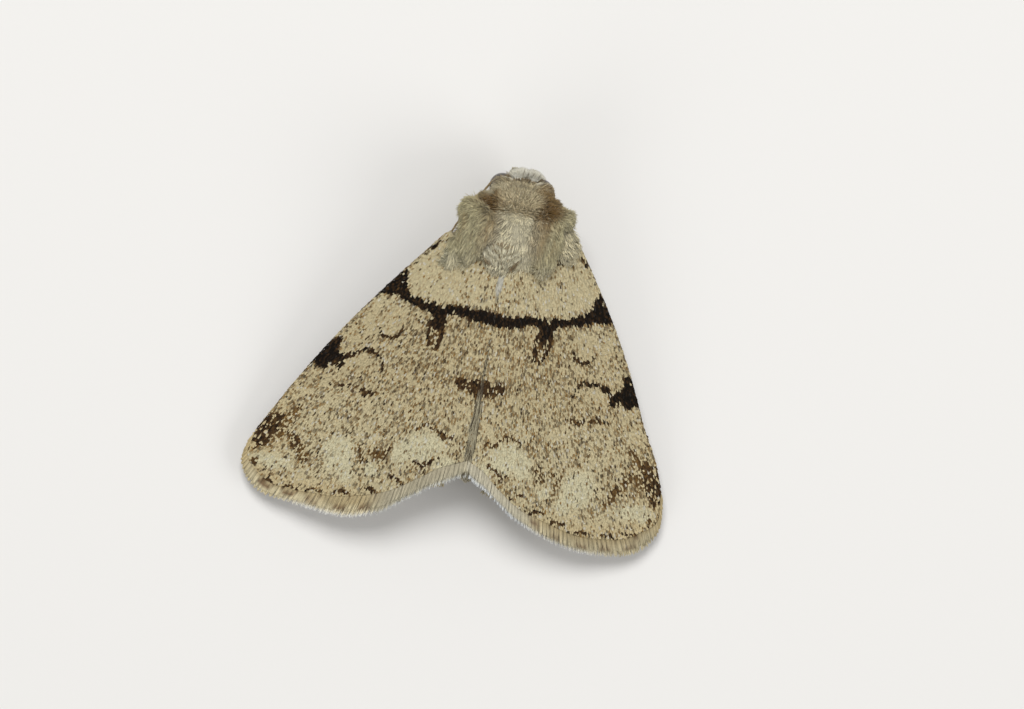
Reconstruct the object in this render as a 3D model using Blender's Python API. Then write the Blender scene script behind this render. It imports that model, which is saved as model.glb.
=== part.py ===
"""Stout owlet moth at rest, life size: furred body, flat roof of forewings, folded hindwings, six legs.
The head points along -Y, the moth's own left side is at +X, and the floor is at z = 0."""
import math

import bmesh
import bpy
from mathutils import Vector

mm = 0.001

# whole animal, in millimetres
lengthShift = -2.027       # moves the sizes below so that the box is centred on the origin
sideShift = -0.236
gap = 0.10                 # clear space left between neighbouring parts
bodySway = 0.105           # the thorax and head are carried this far to the moth's right, for each mm
swayStart = -1.6           # that they lie ahead of this place

# forewing outline on one side, x outward and y toward the tail
costaBase = (3.35, -4.00)
costaBulge = 0.42
costaSlope = 0.564
innerBase = (0.08, -1.50)
baseBow = 1.03
termenPoints = [(0.10, 8.20), (1.05, 8.86), (2.38, 9.88), (3.58, 10.68), (5.30, 11.24),
                (7.40, 11.52), (9.25, 11.42), (10.25, 10.86), (10.76, 9.86), (10.62, 8.52)]
wingThick = 0.58           # measured straight down, which is 0.5 across the slope
wingSpread = 0.030         # the left wing is held this much wider toward its tip, the right one narrower
wingTrail = 0.018          # and this much farther back
wingLean = 0.035           # the front edge of the right wing is carried this much farther out toward its root,
wingLeanEnd = 7.0          # of its distance to this place, and that of the left one farther in

# the roof that the wings make
ridgeHeight = 5.10
ridgeDrop = 0.010
roofSlope = 0.455
slopeEase = 0.0145
ridgeRound = 0.80

# hindwing, folded under the forewing and turned down beside the abdomen
hindBaseY = -1.2
hindThick = 0.54
hindPoints = [(0.75, 9.1), (2.2, 9.55), (4.2, 10.2), (6.4, 10.35), (8.2, 9.6), (8.9, 7.9)]

# thorax with its fur
thoraxMid = -4.20
thoraxHalfLength = 2.55
thoraxHalfWidth = 3.02
thoraxTop = 5.80
thoraxWaist = 3.95
thoraxFloor = 1.45
thoraxFront = -5.72
thoraxRear = -1.78

# head, eyes and feelers
headMid = -6.20
headHalfLength = 0.95
headHalfWidth = 1.50
headLow = 1.72
headHigh = 4.25
eyeRadius = 0.66
eyePlace = (0.98, -6.46, 2.80)
feelerRadius = 0.26
palpRadius = 0.26

# abdomen with its tail tuft
abdomenFront = -1.68
abdomenTip = 9.35
abdomenHalfWidth = 1.85
abdomenBend = -0.55

# legs
thighRadius = 0.34
shinRadius = 0.29
footRadius = 0.26


for old in list(bpy.data.objects):
    bpy.data.objects.remove(old, do_unlink=True)


def shade(name, colour, rough):
    mat = bpy.data.materials.new(name)
    mat.use_nodes = True
    bsdf = mat.node_tree.nodes["Principled BSDF"]
    bsdf.inputs["Base Color"].default_value = (*colour, 1.0)
    bsdf.inputs["Roughness"].default_value = rough
    mat.diffuse_color = (*colour, 1.0)
    return mat


def finish(name, bm, colour, rough=0.8, soft=True):
    """Turn a bmesh in millimetres into one closed named object in metres."""
    bmesh.ops.recalc_face_normals(bm, faces=bm.faces)
    bmesh.ops.transform(bm, matrix=shiftMatrix(), verts=bm.verts)
    mesh = bpy.data.meshes.new(name)
    bm.to_mesh(mesh)
    bm.free()
    for face in mesh.polygons:
        face.use_smooth = soft
    item = bpy.data.objects.new(name, mesh)
    bpy.context.scene.collection.objects.link(item)
    item.data.materials.append(shade(name, colour, rough))
    return item


def shiftMatrix():
    from mathutils import Matrix
    return Matrix.Scale(mm, 4) @ Matrix.Translation((sideShift, lengthShift, 0))


def swayed(point):
    """Carry a point of the front body sideways, off the middle line of the wings."""
    x, y, z = point
    return Vector((x + bodySway * min(y - swayStart, 0.0), y, z))


def curveThrough(points, count):
    """Even samples of a smooth curve through a few points, which may be 2-D or 3-D."""
    pts = [Vector(p) for p in points]
    pts = [2 * pts[0] - pts[1]] + pts + [2 * pts[-1] - pts[-2]]
    fine = []
    for i in range(1, len(pts) - 2):
        a, b, c, d = pts[i - 1:i + 3]
        for k in range(16):
            t = k / 16
            fine.append(0.5 * ((2 * b) + (c - a) * t + (2 * a - 5 * b + 4 * c - d) * t * t
                               + (3 * b - a - 3 * c + d) * t ** 3))
    fine.append(pts[-2])
    run = [0.0]
    for p, q in zip(fine, fine[1:]):
        run.append(run[-1] + (q - p).length)
    out = []
    j = 0
    for k in range(count):
        want = run[-1] * k / (count - 1)
        while j < len(run) - 2 and run[j + 1] < want:
            j += 1
        f = (want - run[j]) / max(run[j + 1] - run[j], 1e-9)
        out.append(fine[j].lerp(fine[j + 1], min(max(f, 0.0), 1.0)))
    return out


def roof(x, y):
    """Height of the upper side of the forewings."""
    x = abs(x)
    top = ridgeHeight - ridgeDrop * max(y, 0.0) ** 2
    slope = roofSlope - slopeEase * y
    return top - slope * (x - ridgeRound * (1 - math.exp(-x / ridgeRound)))


def warp(x, y, side):
    """The two wings are not held quite alike, though they still meet in the middle."""
    ease = min(x / 1.6, 1.0)
    edge = costaBase[0] + costaSlope * (y - costaBase[1])
    lean = wingLean * max(wingLeanEnd - y, 0.0) * (x / max(edge, 1.0)) ** 2
    return x + side * (ease * wingSpread * (y - 1.5) - lean), y + side * wingTrail * x


def closeSlab(bm, top, low):
    """Skin a grid of upper vertices and a grid of lower ones, and close the rim between them."""
    m, n = len(top), len(top[0])
    for i in range(m - 1):
        for j in range(n - 1):
            bm.faces.new((top[i][j], top[i][j + 1], top[i + 1][j + 1], top[i + 1][j]))
            bm.faces.new((low[i][j], low[i + 1][j], low[i + 1][j + 1], low[i][j + 1]))
    rim = [(0, j) for j in range(n)] + [(i, n - 1) for i in range(1, m)]
    rim += [(m - 1, j) for j in range(n - 2, -1, -1)] + [(i, 0) for i in range(m - 2, 0, -1)]
    for (i, j), (k, l) in zip(rim, rim[1:] + rim[:1]):
        bm.faces.new((top[i][j], low[i][j], low[k][l], top[k][l]))


def forewing(name, side):
    across, along = 17, 17
    outer = curveThrough(termenPoints, across)
    rows = []
    for i in range(across):
        s = i / (across - 1)
        bx = innerBase[0] + (costaBase[0] - innerBase[0]) * s
        by = innerBase[1] + (costaBase[1] - innerBase[1]) * s
        bow = baseBow * math.sin(math.pi * s)
        start = Vector((bx + 0.67 * bow, by + 0.70 * bow))
        row = []
        for j in range(along):
            t = j / (along - 1)
            p = start.lerp(outer[i], t)
            bulge = costaBulge * math.sin(math.pi * t) * s ** 4
            x, y = warp(p.x + bulge, p.y - 0.5 * bulge, side)
            row.append((max(x, 0.055), y, roof(x, y)))
        rows.append(row)
    bm = bmesh.new()
    top = [[bm.verts.new((side * x, y, z)) for x, y, z in row] for row in rows]
    low = [[bm.verts.new((side * x, y, z - wingThick)) for x, y, z in row] for row in rows]
    closeSlab(bm, top, low)
    return finish(name, bm, (0.55, 0.48, 0.31))


def hindwing(name, side):
    """Follows the underside of the forewing, then turns down beside the abdomen."""
    folds, across, along = 4, 9, 12
    under = wingThick + 2.6 * gap
    outer = curveThrough(hindPoints, across)
    bm = bmesh.new()
    top = [[None] * along for _ in range(folds + across)]
    low = [[None] * along for _ in range(folds + across)]
    for j in range(along):
        t = (j / (along - 1)) ** 0.92
        for k in range(across):
            s = k / (across - 1)
            p = Vector((2.30 + 0.9 * s, hindBaseY - 1.0 * s)).lerp(outer[k], t)
            x, y = warp(p.x, p.y, side)
            x = max(x, abdomenWidth(y) + side * abdomenLean(y) + gap + 0.36)
            inner = x + hindThick * (1 - s) ** 2
            z = roof(x, y) - under
            zLow = roof(inner, y) - under - hindThick
            top[folds + k][j] = bm.verts.new((side * x, y, z))
            low[folds + k][j] = bm.verts.new((side * inner, y, zLow))
            if k == 0:
                foot = z - min(1.9, max(z - 1.70, 0.75))
                for i in range(folds):
                    f = (folds - i) / folds
                    top[i][j] = bm.verts.new((side * (x - 0.02 * f), y, z + (foot - z) * f))
                    low[i][j] = bm.verts.new((side * inner, y, zLow + (foot + 0.05 - zLow) * f))
    closeSlab(bm, top, low)
    return finish(name, bm, (0.42, 0.36, 0.27))


def ringBody(name, sections, sides, colour, sway=False):
    """Loft closed rings; each section is (y, centre x, half width, low, widest, high, squareness)."""
    bm = bmesh.new()
    rings = []
    for y, cx, w, low, mid, high, power in sections:
        ring = []
        for k in range(sides):
            a = 2 * math.pi * k / sides
            c, s = math.cos(a), math.sin(a)
            px = cx + w * math.copysign(abs(c) ** (2 / power), c)
            reach = high - mid if s > 0 else mid - low
            pz = mid + reach * math.copysign(abs(s) ** (2 / power), s)
            p = (px, y, pz)
            ring.append(bm.verts.new(swayed(p) if sway else p))
        rings.append(ring)
    for a, b in zip(rings, rings[1:]):
        for k in range(sides):
            bm.faces.new((a[k], a[(k + 1) % sides], b[(k + 1) % sides], b[k]))
    for ring in (rings[0], rings[-1]):
        cen = bm.verts.new(sum((v.co for v in ring), Vector()) / sides)
        for k in range(sides):
            bm.faces.new((ring[k], ring[(k + 1) % sides], cen))
    return finish(name, bm, colour)


def tube(name, points, radii, count, sides, colour, floorFlat=False, sway=False):
    """A round limb through a few points, tapering, with the part below the floor pressed flat."""
    path = curveThrough(points, count)
    bm = bmesh.new()
    rings = []
    up = Vector((0.12, 0.05, 1.0)).normalized()
    for i, p in enumerate(path):
        ahead = (path[min(i + 1, count - 1)] - path[max(i - 1, 0)]).normalized()
        sideways = ahead.cross(up).normalized()
        upward = sideways.cross(ahead).normalized()
        place = i / (count - 1) * (len(radii) - 1)
        k = min(int(place), len(radii) - 2)
        r = radii[k] + (radii[k + 1] - radii[k]) * (place - k)
        ring = []
        for j in range(sides):
            a = 2 * math.pi * (j + 0.5) / sides
            q = p + r * (math.cos(a) * sideways + math.sin(a) * upward)
            if sway:
                q = swayed(q)
            if floorFlat:
                q.z = max(q.z, 0.0)
            ring.append(bm.verts.new(q))
        rings.append(ring)
    for a, b in zip(rings, rings[1:]):
        for k in range(sides):
            bm.faces.new((a[k], a[(k + 1) % sides], b[(k + 1) % sides], b[k]))
    for ring in (rings[0], rings[-1]):
        bm.faces.new(ring)
    return finish(name, bm, colour)


def thoraxWidth(y):
    f = (y - thoraxMid) / thoraxHalfLength
    return thoraxHalfWidth * math.sqrt(max(1 - f * f, 0.02))


def thoraxHigh(y):
    f = (y - thoraxMid) / thoraxHalfLength
    return thoraxWaist + (thoraxTop - thoraxWaist) * max(1 - abs(f) ** 3.0, 0.0) ** 0.5


def thorax():
    rows = []
    count = 13
    for i in range(count):
        y = thoraxFront + (thoraxRear - thoraxFront) * i / (count - 1)
        w = thoraxWidth(y)
        trim = (0.80, 0.96)[i] if i < 2 else 1.0
        low = thoraxFloor + 0.9 * (1 - w / thoraxHalfWidth)
        high = max(thoraxHigh(y), thoraxWaist + 0.4)
        rows.append((y, 0.0, w * trim, thoraxWaist - (thoraxWaist - low) * trim, thoraxWaist,
                     thoraxWaist + (high - thoraxWaist) * trim, 2.15))
    return ringBody("thorax", rows, 24, (0.50, 0.44, 0.32), sway=True)


def shoulderTop(x, y):
    w = thoraxWidth(y)
    f = min(abs(x) / w, 1.0)
    top = thoraxWaist + (thoraxHigh(y) - thoraxWaist) * (1 - f ** 2.15) ** (1 / 2.15)
    return max(top, roof(x, y))


def tegula(name, side):
    """The furred flap over the root of the forewing."""
    rows = []
    across, along = 9, 14
    for i in range(across):
        u = 2 * i / (across - 1) - 1
        row = []
        for j in range(along):
            v = j / (along - 1)
            half = 0.22 + 0.66 * math.sin(math.pi * min(v * 0.80 + 0.12, 1.0)) ** 0.8
            x = 1.72 + 0.85 * v ** 1.2 + half * u
            y = -5.45 + 3.15 * v + 0.25 * u
            row.append((x, y))
        rows.append(row)
    seat = [[max(shoulderTop(x - 0.22, y), shoulderTop(x, y)) for x, y in row] for row in rows]
    for _ in range(3):     # even out the seat, never below the body
        seat = [[max(seat[i][j], (seat[max(i - 1, 0)][j] + seat[min(i + 1, across - 1)][j]
                                  + seat[i][max(j - 1, 0)] + seat[i][min(j + 1, along - 1)]) / 4)
                 for j in range(along)] for i in range(across)]
    bm = bmesh.new()
    top, low = [], []
    for i, row in enumerate(rows):
        u = 2 * i / (across - 1) - 1
        upper, lower = [], []
        for j, (x, y) in enumerate(row):
            v = j / (along - 1)
            base = seat[i][j] + gap
            swell = (1 - abs(u) ** 3) * math.sin(math.pi * (0.08 + 0.84 * v)) ** 0.6
            lower.append(bm.verts.new(swayed((side * x, y, base))))
            upper.append(bm.verts.new(swayed((side * x, y, base + 0.16 + 0.34 * swell))))
        top.append(upper)
        low.append(lower)
    closeSlab(bm, top, low)
    return finish(name, bm, (0.52, 0.47, 0.36))


def eye(name, side):
    bm = bmesh.new()
    bmesh.ops.create_uvsphere(bm, u_segments=16, v_segments=10, radius=eyeRadius)
    bmesh.ops.translate(bm, vec=swayed((side * eyePlace[0], eyePlace[1], eyePlace[2])), verts=bm.verts)
    return finish(name, bm, (0.035, 0.03, 0.022), rough=0.25)


def head():
    rows = []
    count = 11
    back = thoraxFront - gap
    front = headMid - headHalfLength
    for i in range(count):
        y = front + (back - front) * (0.015 + 0.985 * i / (count - 1))
        f = (y - headMid) / headHalfLength
        f = min(f, 0.45)
        k = math.sqrt(max(1 - f * f, 0.03))
        mid = 0.5 * (headLow + headHigh)
        rows.append((y, 0.0, headHalfWidth * k, mid - (mid - headLow) * k, mid,
                     mid + (headHigh - mid) * k, 2.2))
    skull = ringBody("head", rows, 22, (0.52, 0.48, 0.38), sway=True)
    for side in (1, -1):
        bm = bmesh.new()
        bmesh.ops.create_uvsphere(bm, u_segments=16, v_segments=9, radius=eyeRadius + gap)
        bmesh.ops.translate(bm, vec=swayed((side * eyePlace[0], eyePlace[1], eyePlace[2])), verts=bm.verts)
        cutter = finish("eye_socket_cutter", bm, (0.2, 0.2, 0.2))
        cutter.hide_render = True
        cutter.display_type = "WIRE"
        cut = skull.modifiers.new("eye socket", "BOOLEAN")
        cut.operation = "DIFFERENCE"
        cut.solver = "EXACT"
        cut.object = cutter
    return skull


def abdomenWidth(y):
    f = (y - abdomenFront) / (abdomenTip - abdomenFront)
    if f <= 0 or f >= 1:
        return 0.25
    rise = min(1.0, 0.80 + 0.9 * f)
    fall = 1 - 0.60 * max(0.0, (f - 0.30) / 0.70) ** 1.5
    tail = math.sqrt(max(1 - max(0.0, (f - 0.90) / 0.10) ** 2, 0.12))
    return abdomenHalfWidth * rise * fall * tail


def abdomenLean(y):
    f = (y - abdomenFront) / (abdomenTip - abdomenFront)
    return abdomenBend * max(0.0, min(f, 1.0) - 0.25) ** 1.6 / 0.75 ** 1.6


def abdomen():
    rows = []
    count = 18
    for i in range(count):
        f = i / (count - 1)
        y = abdomenFront + (abdomenTip - abdomenFront) * f
        w = abdomenWidth(y)
        high = min(2.55 + 0.98 * w, ridgeHeight - ridgeDrop * max(y, 0) ** 2 - wingThick - gap - 0.1)
        mid = 2.45 - 0.25 * f
        high = min(high, mid + 1.0 * w + 0.15)
        low = mid - 0.92 * w
        rows.append((y, abdomenLean(y), w, low, mid, high, 2.1))
    return ringBody("abdomen", rows, 22, (0.40, 0.35, 0.26))


def feeler(name, side):
    path = [(0.42, -6.72, 4.36), (0.92, -6.98, 4.06), (1.42, -7.08, 3.56), (1.90, -6.80, 3.12),
            (2.24, -6.22, 2.78), (2.56, -5.50, 2.48), (2.74, -4.70, 2.20), (2.88, -3.60, 2.06),
            (3.30, -1.90, 1.86), (4.30, 0.20, 1.46), (5.30, 2.10, 1.12)]
    pts = [(side * x, y, z) for x, y, z in path]
    pts = [tuple(swayed(p)) for p in pts]
    return tube(name, pts, [feelerRadius] * 2, 20, 6, (0.45, 0.41, 0.32))


def palp(name, side):
    path = [(0.36, -6.55, 1.22), (0.42, -7.02, 1.26), (0.44, -7.32, 1.66), (0.44, -7.36, 2.25)]
    pts = [tuple(swayed((side * x, y, z))) for x, y, z in path]
    return tube(name, pts, [palpRadius, 0.30, 0.28, 0.25], 8, 8, (0.48, 0.44, 0.34))


legPaths = {
    "fore": [(0.72, -4.95, 1.05), (0.98, -5.55, 1.02), (0.94, -6.00, 0.62), (0.82, -6.35, 0.24),
             (0.68, -6.80, 0.21), (0.62, -7.15, 0.21)],
    "mid": [(1.10, -4.00, 1.05), (1.95, -3.78, 1.30), (2.24, -3.20, 0.92), (2.75, -2.35, 0.25),
            (3.12, -1.50, 0.21), (3.26, -0.80, 0.21)],
    "hind": [(1.20, -2.75, 1.05), (2.55, -1.70, 1.25), (3.10, -0.45, 0.95), (3.60, 1.20, 0.25),
             (3.90, 2.60, 0.21), (4.00, 3.70, 0.21)],
}


def leg(name, pair, side):
    pts = [(side * x, y, z) for x, y, z in legPaths[pair]]
    radii = [thighRadius, thighRadius, shinRadius, footRadius, footRadius, footRadius]
    return tube(name, pts, radii, 18, 8, (0.42, 0.37, 0.28), floorFlat=True, sway=pair == "fore")


head()
for side, word in ((1, "left"), (-1, "right")):
    eye("eye_" + word, side)
    feeler("antenna_" + word, side)
    palp("palp_" + word, side)
    tegula("tegula_" + word, side)
    forewing("forewing_" + word, side)
    hindwing("hindwing_" + word, side)
    for pair in ("fore", "mid", "hind"):
        leg("leg_" + pair + "_" + word, pair, side)
thorax()
abdomen()
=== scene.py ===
import math

import bpy
import numpy as np
from mathutils import Matrix, Vector


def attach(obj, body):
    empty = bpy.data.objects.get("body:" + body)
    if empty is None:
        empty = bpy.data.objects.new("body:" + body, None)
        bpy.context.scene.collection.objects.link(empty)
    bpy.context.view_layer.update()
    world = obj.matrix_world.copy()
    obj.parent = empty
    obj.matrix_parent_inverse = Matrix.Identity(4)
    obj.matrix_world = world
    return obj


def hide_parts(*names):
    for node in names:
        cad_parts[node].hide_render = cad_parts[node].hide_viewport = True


# Stout owlet moth at rest. Working sizes are in millimetres, with the head toward -y and the
# moth's own left side at +x, and are turned into metres when a piece is finished.
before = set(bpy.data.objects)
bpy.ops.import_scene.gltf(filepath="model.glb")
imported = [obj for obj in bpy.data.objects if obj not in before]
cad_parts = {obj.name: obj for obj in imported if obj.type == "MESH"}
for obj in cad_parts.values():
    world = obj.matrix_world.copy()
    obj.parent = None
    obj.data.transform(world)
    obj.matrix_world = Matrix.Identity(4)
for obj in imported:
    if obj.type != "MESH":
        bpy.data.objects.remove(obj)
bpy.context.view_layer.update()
for item in list(bpy.context.selected_objects):
    item.select_set(False)

mm = 0.001
boxShift = np.array((-0.236, -2.027, 0.0))  # puts the animal in the middle of the frame
swayStart = -1.6                            # the body ahead of this place is carried to the right,
bodySway = 0.105                            # by this much for each mm
sides = ((1, "left"), (-1, "right"))
upright = np.array([0.0, 0.0, 1.0])
faraway = 9.0                               # more than any distance that is compared


def smoothStep(low, high, v):
    f = np.clip((v - low) / (high - low), 0, 1)
    return f * f * (3 - 2 * f)


def blend(a, b, f):
    f = np.asarray(f, float)[..., None]
    return np.asarray(a, float) * (1 - f) + np.asarray(b, float) * f


def unit(v):
    return v / np.maximum(np.linalg.norm(v, axis=-1, keepdims=True), 1e-12)


def paint(r, g, b):  # a colour picked on a 0 to 255 scale, as the linear value that shaders use
    c = np.array([r, g, b], float) / 255
    return np.where(c <= 0.04045, c / 12.92, ((c + 0.055) / 1.055) ** 2.4)


def cloud(p, size, seed=0):  # soft random field from 0 to 1, for 1-D to 3-D points
    q = np.asarray(p, float) / size
    cell = np.floor(q)
    f = q - cell
    f = f * f * (3 - 2 * f)
    dims = q.shape[-1]
    mixers = np.array([127.1, 311.7, 74.7])[:dims]      # unlike numbers, so that no pattern repeats
    total = 0
    for corner in range(2 ** dims):
        bits = np.array([(corner >> k) & 1 for k in range(dims)])
        weight = np.prod(np.where(bits == 1, f, 1 - f), axis=-1)
        value = np.sin((cell + bits) @ mixers + seed * 17.13) * 43758.5453
        total = total + weight * (value - np.floor(value))
    return total


def smoothLine(points, count, perSpan=16):  # even samples of a smooth curve through a few points
    pts = np.array(points, float)
    pts = np.vstack([2 * pts[0] - pts[1], pts, 2 * pts[-1] - pts[-2]])
    t = np.linspace(0, 1, perSpan, endpoint=False)[:, None]
    fine = [0.5 * (2 * b + (c - a) * t + (2 * a - 5 * b + 4 * c - d) * t * t
                   + (3 * b - a - 3 * c + d) * t ** 3)
            for a, b, c, d in zip(pts, pts[1:], pts[2:], pts[3:])]
    fine = np.vstack(fine + [pts[-2:-1]])
    run = lineRun(fine)
    want = np.linspace(0, run[-1], count)
    return np.stack([np.interp(want, run, fine[:, k]) for k in range(fine.shape[1])], 1)


def lineRun(line):  # how far along a line each of its points lies
    return np.r_[0, np.cumsum(np.linalg.norm(np.diff(line, axis=0), axis=1))]


def lineAt(line, f):  # the place at a share f of a 2-D line's points
    at = np.clip(f, 0, 1) * (len(line) - 1)
    step = np.arange(len(line))
    return np.interp(at, step, line[:, 0]), np.interp(at, step, line[:, 1])


def swayed(p, way=1):  # carries front-body points sideways, more the farther ahead they lie
    out = np.array(p, float)
    out[..., 0] += way * bodySway * np.minimum(out[..., 1] - swayStart, 0.0)
    return out


def unswayed(p):
    return swayed(p, -1)


def stroke(x, y, points, soft):  # 1 inside a brush stroke of (x, y, half width) points, 0 outside
    best = np.full(np.shape(x), faraway)
    for (ax, ay, aw), (bx, by, bw) in zip(points, points[1:]):
        dx, dy = bx - ax, by - ay
        t = np.clip(((x - ax) * dx + (y - ay) * dy) / (dx * dx + dy * dy), 0, 1)
        reach = np.hypot(x - ax - t * dx, y - ay - t * dy) / (aw + (bw - aw) * t)
        best = np.minimum(best, reach)
    return 1 - smoothStep(1 - soft, 1 + soft, best)


def spot(x, y, cx, cy, rx, ry, soft=0.35):
    return 1 - smoothStep(1 - soft, 1 + soft, np.hypot((x - cx) / rx, (y - cy) / ry))


def noSelection():
    if bpy.context.object and bpy.context.object.mode != "OBJECT":
        bpy.ops.object.mode_set(mode="OBJECT")
    bpy.ops.object.select_all(action="DESELECT")


def only(item):
    noSelection()
    item.select_set(True)
    bpy.context.view_layer.objects.active = item


def editWhole(item, operator, **options):  # runs one edit-mode operator on all of a piece
    only(item)
    bpy.ops.object.mode_set(mode="EDIT")
    bpy.ops.mesh.select_all(action="SELECT")
    operator(**options)
    bpy.ops.object.mode_set(mode="OBJECT")


def applied(item, name, kind, **settings):  # adds a modifier and applies it
    only(item)
    modifier = item.modifiers.new(name, kind)
    for setting, value in settings.items():
        setattr(modifier, setting, value)
    bpy.ops.object.modifier_apply(modifier=modifier.name)


def joined(parts, name):  # several objects as one
    noSelection()
    for part in parts:
        part.select_set(True)
    bpy.context.view_layer.objects.active = parts[0]
    bpy.ops.object.join()
    item = bpy.context.object
    item.name = item.data.name = name
    return item


def meshPoints(mesh):
    co = np.empty(len(mesh.vertices) * 3)
    mesh.vertices.foreach_get("co", co)
    return co.reshape(-1, 3)


def setPoints(mesh, co):
    mesh.vertices.foreach_set("co", np.ascontiguousarray(co, dtype=np.float32).ravel())
    mesh.update()


def setTint(mesh, colour):  # the colour of each point, which the finishes read
    tint = mesh.attributes.new("tint", "FLOAT_COLOR", "POINT")
    tint.data.foreach_set("color", np.c_[colour, np.ones(len(colour))].astype(np.float32).ravel())


def toFrame(item):  # millimetres to the finished place in metres
    setPoints(item.data, (meshPoints(item.data) + boxShift) * mm)


def place(item, body="root"):
    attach(item, body)
    return item


def joinedMesh(name, layers, material, quads=None, smooth=False):
    # a layer is (points, triangles, a colour and a UV place for each point); quads go with the first layer
    points, colour, uv = (np.vstack([layer[k] for layer in layers]) for k in (0, 2, 3))
    firsts = np.cumsum([0] + [len(layer[0]) for layer in layers])
    triangles = np.vstack([layer[1] + first for layer, first in zip(layers, firsts)])
    quads = np.zeros((0, 4), int) if quads is None else quads
    mesh = bpy.data.meshes.new(name)
    mesh.vertices.add(len(points))
    setPoints(mesh, (points + boxShift) * mm)
    corners = np.concatenate([triangles.ravel(), quads.ravel()])
    mesh.loops.add(len(corners))
    mesh.loops.foreach_set("vertex_index", corners.astype(np.int32))
    quadStarts = len(triangles) * 3 + np.arange(len(quads)) * 4
    starts = np.concatenate([np.arange(len(triangles)) * 3, quadStarts])
    mesh.polygons.add(len(starts))
    mesh.polygons.foreach_set("loop_start", starts.astype(np.int32))
    mesh.update(calc_edges=True)
    mesh.polygons.foreach_set("use_smooth", np.full(len(starts), smooth))
    setTint(mesh, np.clip(colour, 0, 1))
    unwrap = mesh.uv_layers.new(name="OFBake")
    unwrap.data.foreach_set("uv", uv[corners].astype(np.float32).ravel())
    mesh.materials.append(material)
    item = bpy.data.objects.new(name, mesh)
    bpy.context.scene.collection.objects.link(item)
    print(name, len(triangles) + 2 * len(quads), "triangles")
    return place(item)


def newMaterial(name):
    mat = bpy.data.materials.new(name)
    mat.use_nodes = True
    return mat, mat.node_tree.nodes, mat.node_tree.links


def setInputs(node, values):
    for name, value in values.items():
        node.inputs[name].default_value = value


def addNode(nodes, kind, values=()):  # a shader node with some of its inputs set by name
    node = nodes.new("ShaderNode" + kind)
    setInputs(node, dict(values))
    return node


def scaledColour(nodes, links, colour, factor, shader):  # a colour made lighter or darker by a factor
    scale = addNode(nodes, "VectorMath")
    scale.operation = "SCALE"
    links.new(colour, scale.inputs[0])
    links.new(factor, scale.inputs["Scale"])
    links.new(scale.outputs["Vector"], shader.inputs["Base Color"])


def addBump(nodes, links, height, shader, strength, depth):
    bump = addNode(nodes, "Bump", {"Strength": strength, "Distance": depth})
    links.new(height, bump.inputs["Height"])
    links.new(bump.outputs["Normal"], shader.inputs["Normal"])
    return bump


def addRamp(nodes, links, value, low, high):  # two colours, each with its place on the ramp
    ramp = addNode(nodes, "ValToRGB")
    for stop, (at, colour) in zip(ramp.color_ramp.elements, (low, high)):
        stop.position = at
        stop.color = (*colour, 1)
    links.new(value, ramp.inputs["Fac"])
    return ramp.outputs["Color"]


def coatMaterial(name, look):  # colour from each tuft, broken up by fine noise, with a soft satin gloss
    mat, nodes, links = newMaterial(name)
    shader = nodes["Principled BSDF"]
    tint = addNode(nodes, "Attribute")
    tint.attribute_name = "tint"
    where = addNode(nodes, "TexCoord").outputs["Object"]
    grain = addNode(nodes, "TexNoise", {"Scale": look["grain"], "Detail": 4})
    links.new(where, grain.inputs["Vector"])
    tone = addNode(nodes, "MapRange", {"From Min": 0.3, "From Max": 0.7, "To Min": 1 - look["variation"],
                                       "To Max": 1 + look["variation"]})
    links.new(grain.outputs["Fac"], tone.inputs["Value"])
    scaledColour(nodes, links, tint.outputs["Color"], tone.outputs["Result"], shader)
    gloss = addNode(nodes, "MapRange", {"To Min": look["rough"] - 0.08, "To Max": look["rough"] + 0.08})
    links.new(grain.outputs["Fac"], gloss.inputs["Value"])
    links.new(gloss.outputs["Result"], shader.inputs["Roughness"])
    fine = addNode(nodes, "TexNoise", {"Scale": look["grain"] * 6})
    links.new(where, fine.inputs["Vector"])
    addBump(nodes, links, fine.outputs["Fac"], shader, look["bump"], 0.00001)
    setInputs(shader, {"Specular IOR Level": look["specular"], "Sheen Weight": look["sheen"],
                       "Sheen Roughness": 0.4})
    return mat


scaleFinish = coatMaterial("wing scale satin", {
    "grain": 9000, "variation": 0.09, "rough": 0.60, "bump": 0.3, "specular": 0.08, "sheen": 0.0})
membraneFinish = coatMaterial("wing membrane", {
    "grain": 12000, "variation": 0.12, "rough": 0.6, "bump": 0.5, "specular": 0.3, "sheen": 0.05})
furFinish = coatMaterial("body fur", {
    "grain": 7000, "variation": 0.08, "rough": 0.6, "bump": 0.2, "specular": 0.25, "sheen": 0.12})
skinFinish = coatMaterial("skin under fur in painted shade", {
    "grain": 5000, "variation": 0.15, "rough": 0.65, "bump": 0.6, "specular": 0.3, "sheen": 0.05})


wing = {  # the solids' own outline, one side, x out and y toward the tail
    "costaBase": (3.35, -4.00), "costaBulge": 0.42, "costaSlope": 0.564,
    "termen": [(0.02, 8.20), (1.05, 8.86), (2.38, 9.88), (3.58, 10.68), (5.30, 11.24),
               (7.40, 11.52), (9.25, 11.42), (10.25, 10.86), (10.76, 9.86), (10.62, 8.52)],
    "spread": 0.030, "trail": 0.018,
    "tipForward": 0.34, "tipOut": 0.27, "tipBack": 0.28,
    "lean": 0.035, "leanEnd": 7.0,   # toward its root the right wing leans out, the left one in
    "ridgeHeight": 5.10, "ridgeDrop": 0.010, "slope": 0.455, "slopeEase": 0.0145, "ridgeRound": 0.80,
    "coatDepth": 0.11,        # how far the membrane lies below the tips of its scales
    "fringe": 0.86,           # how far the fringe reaches past the membrane
    "veinHeight": 0.030, "veinWidth": 0.010, "veinFans": (0.09, 0.165, 0.225, 0.285, 0.35, 0.415, 0.475),
    "fanOrigin": -10.0,       # the scales lie along lines that fan out from this point on the midline
    "root": (0.0, -2.60), "rootBow": 0.30,    # the membrane itself runs on forward under the thorax fur
}
termenLine = smoothLine(wing["termen"], 400)


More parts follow.
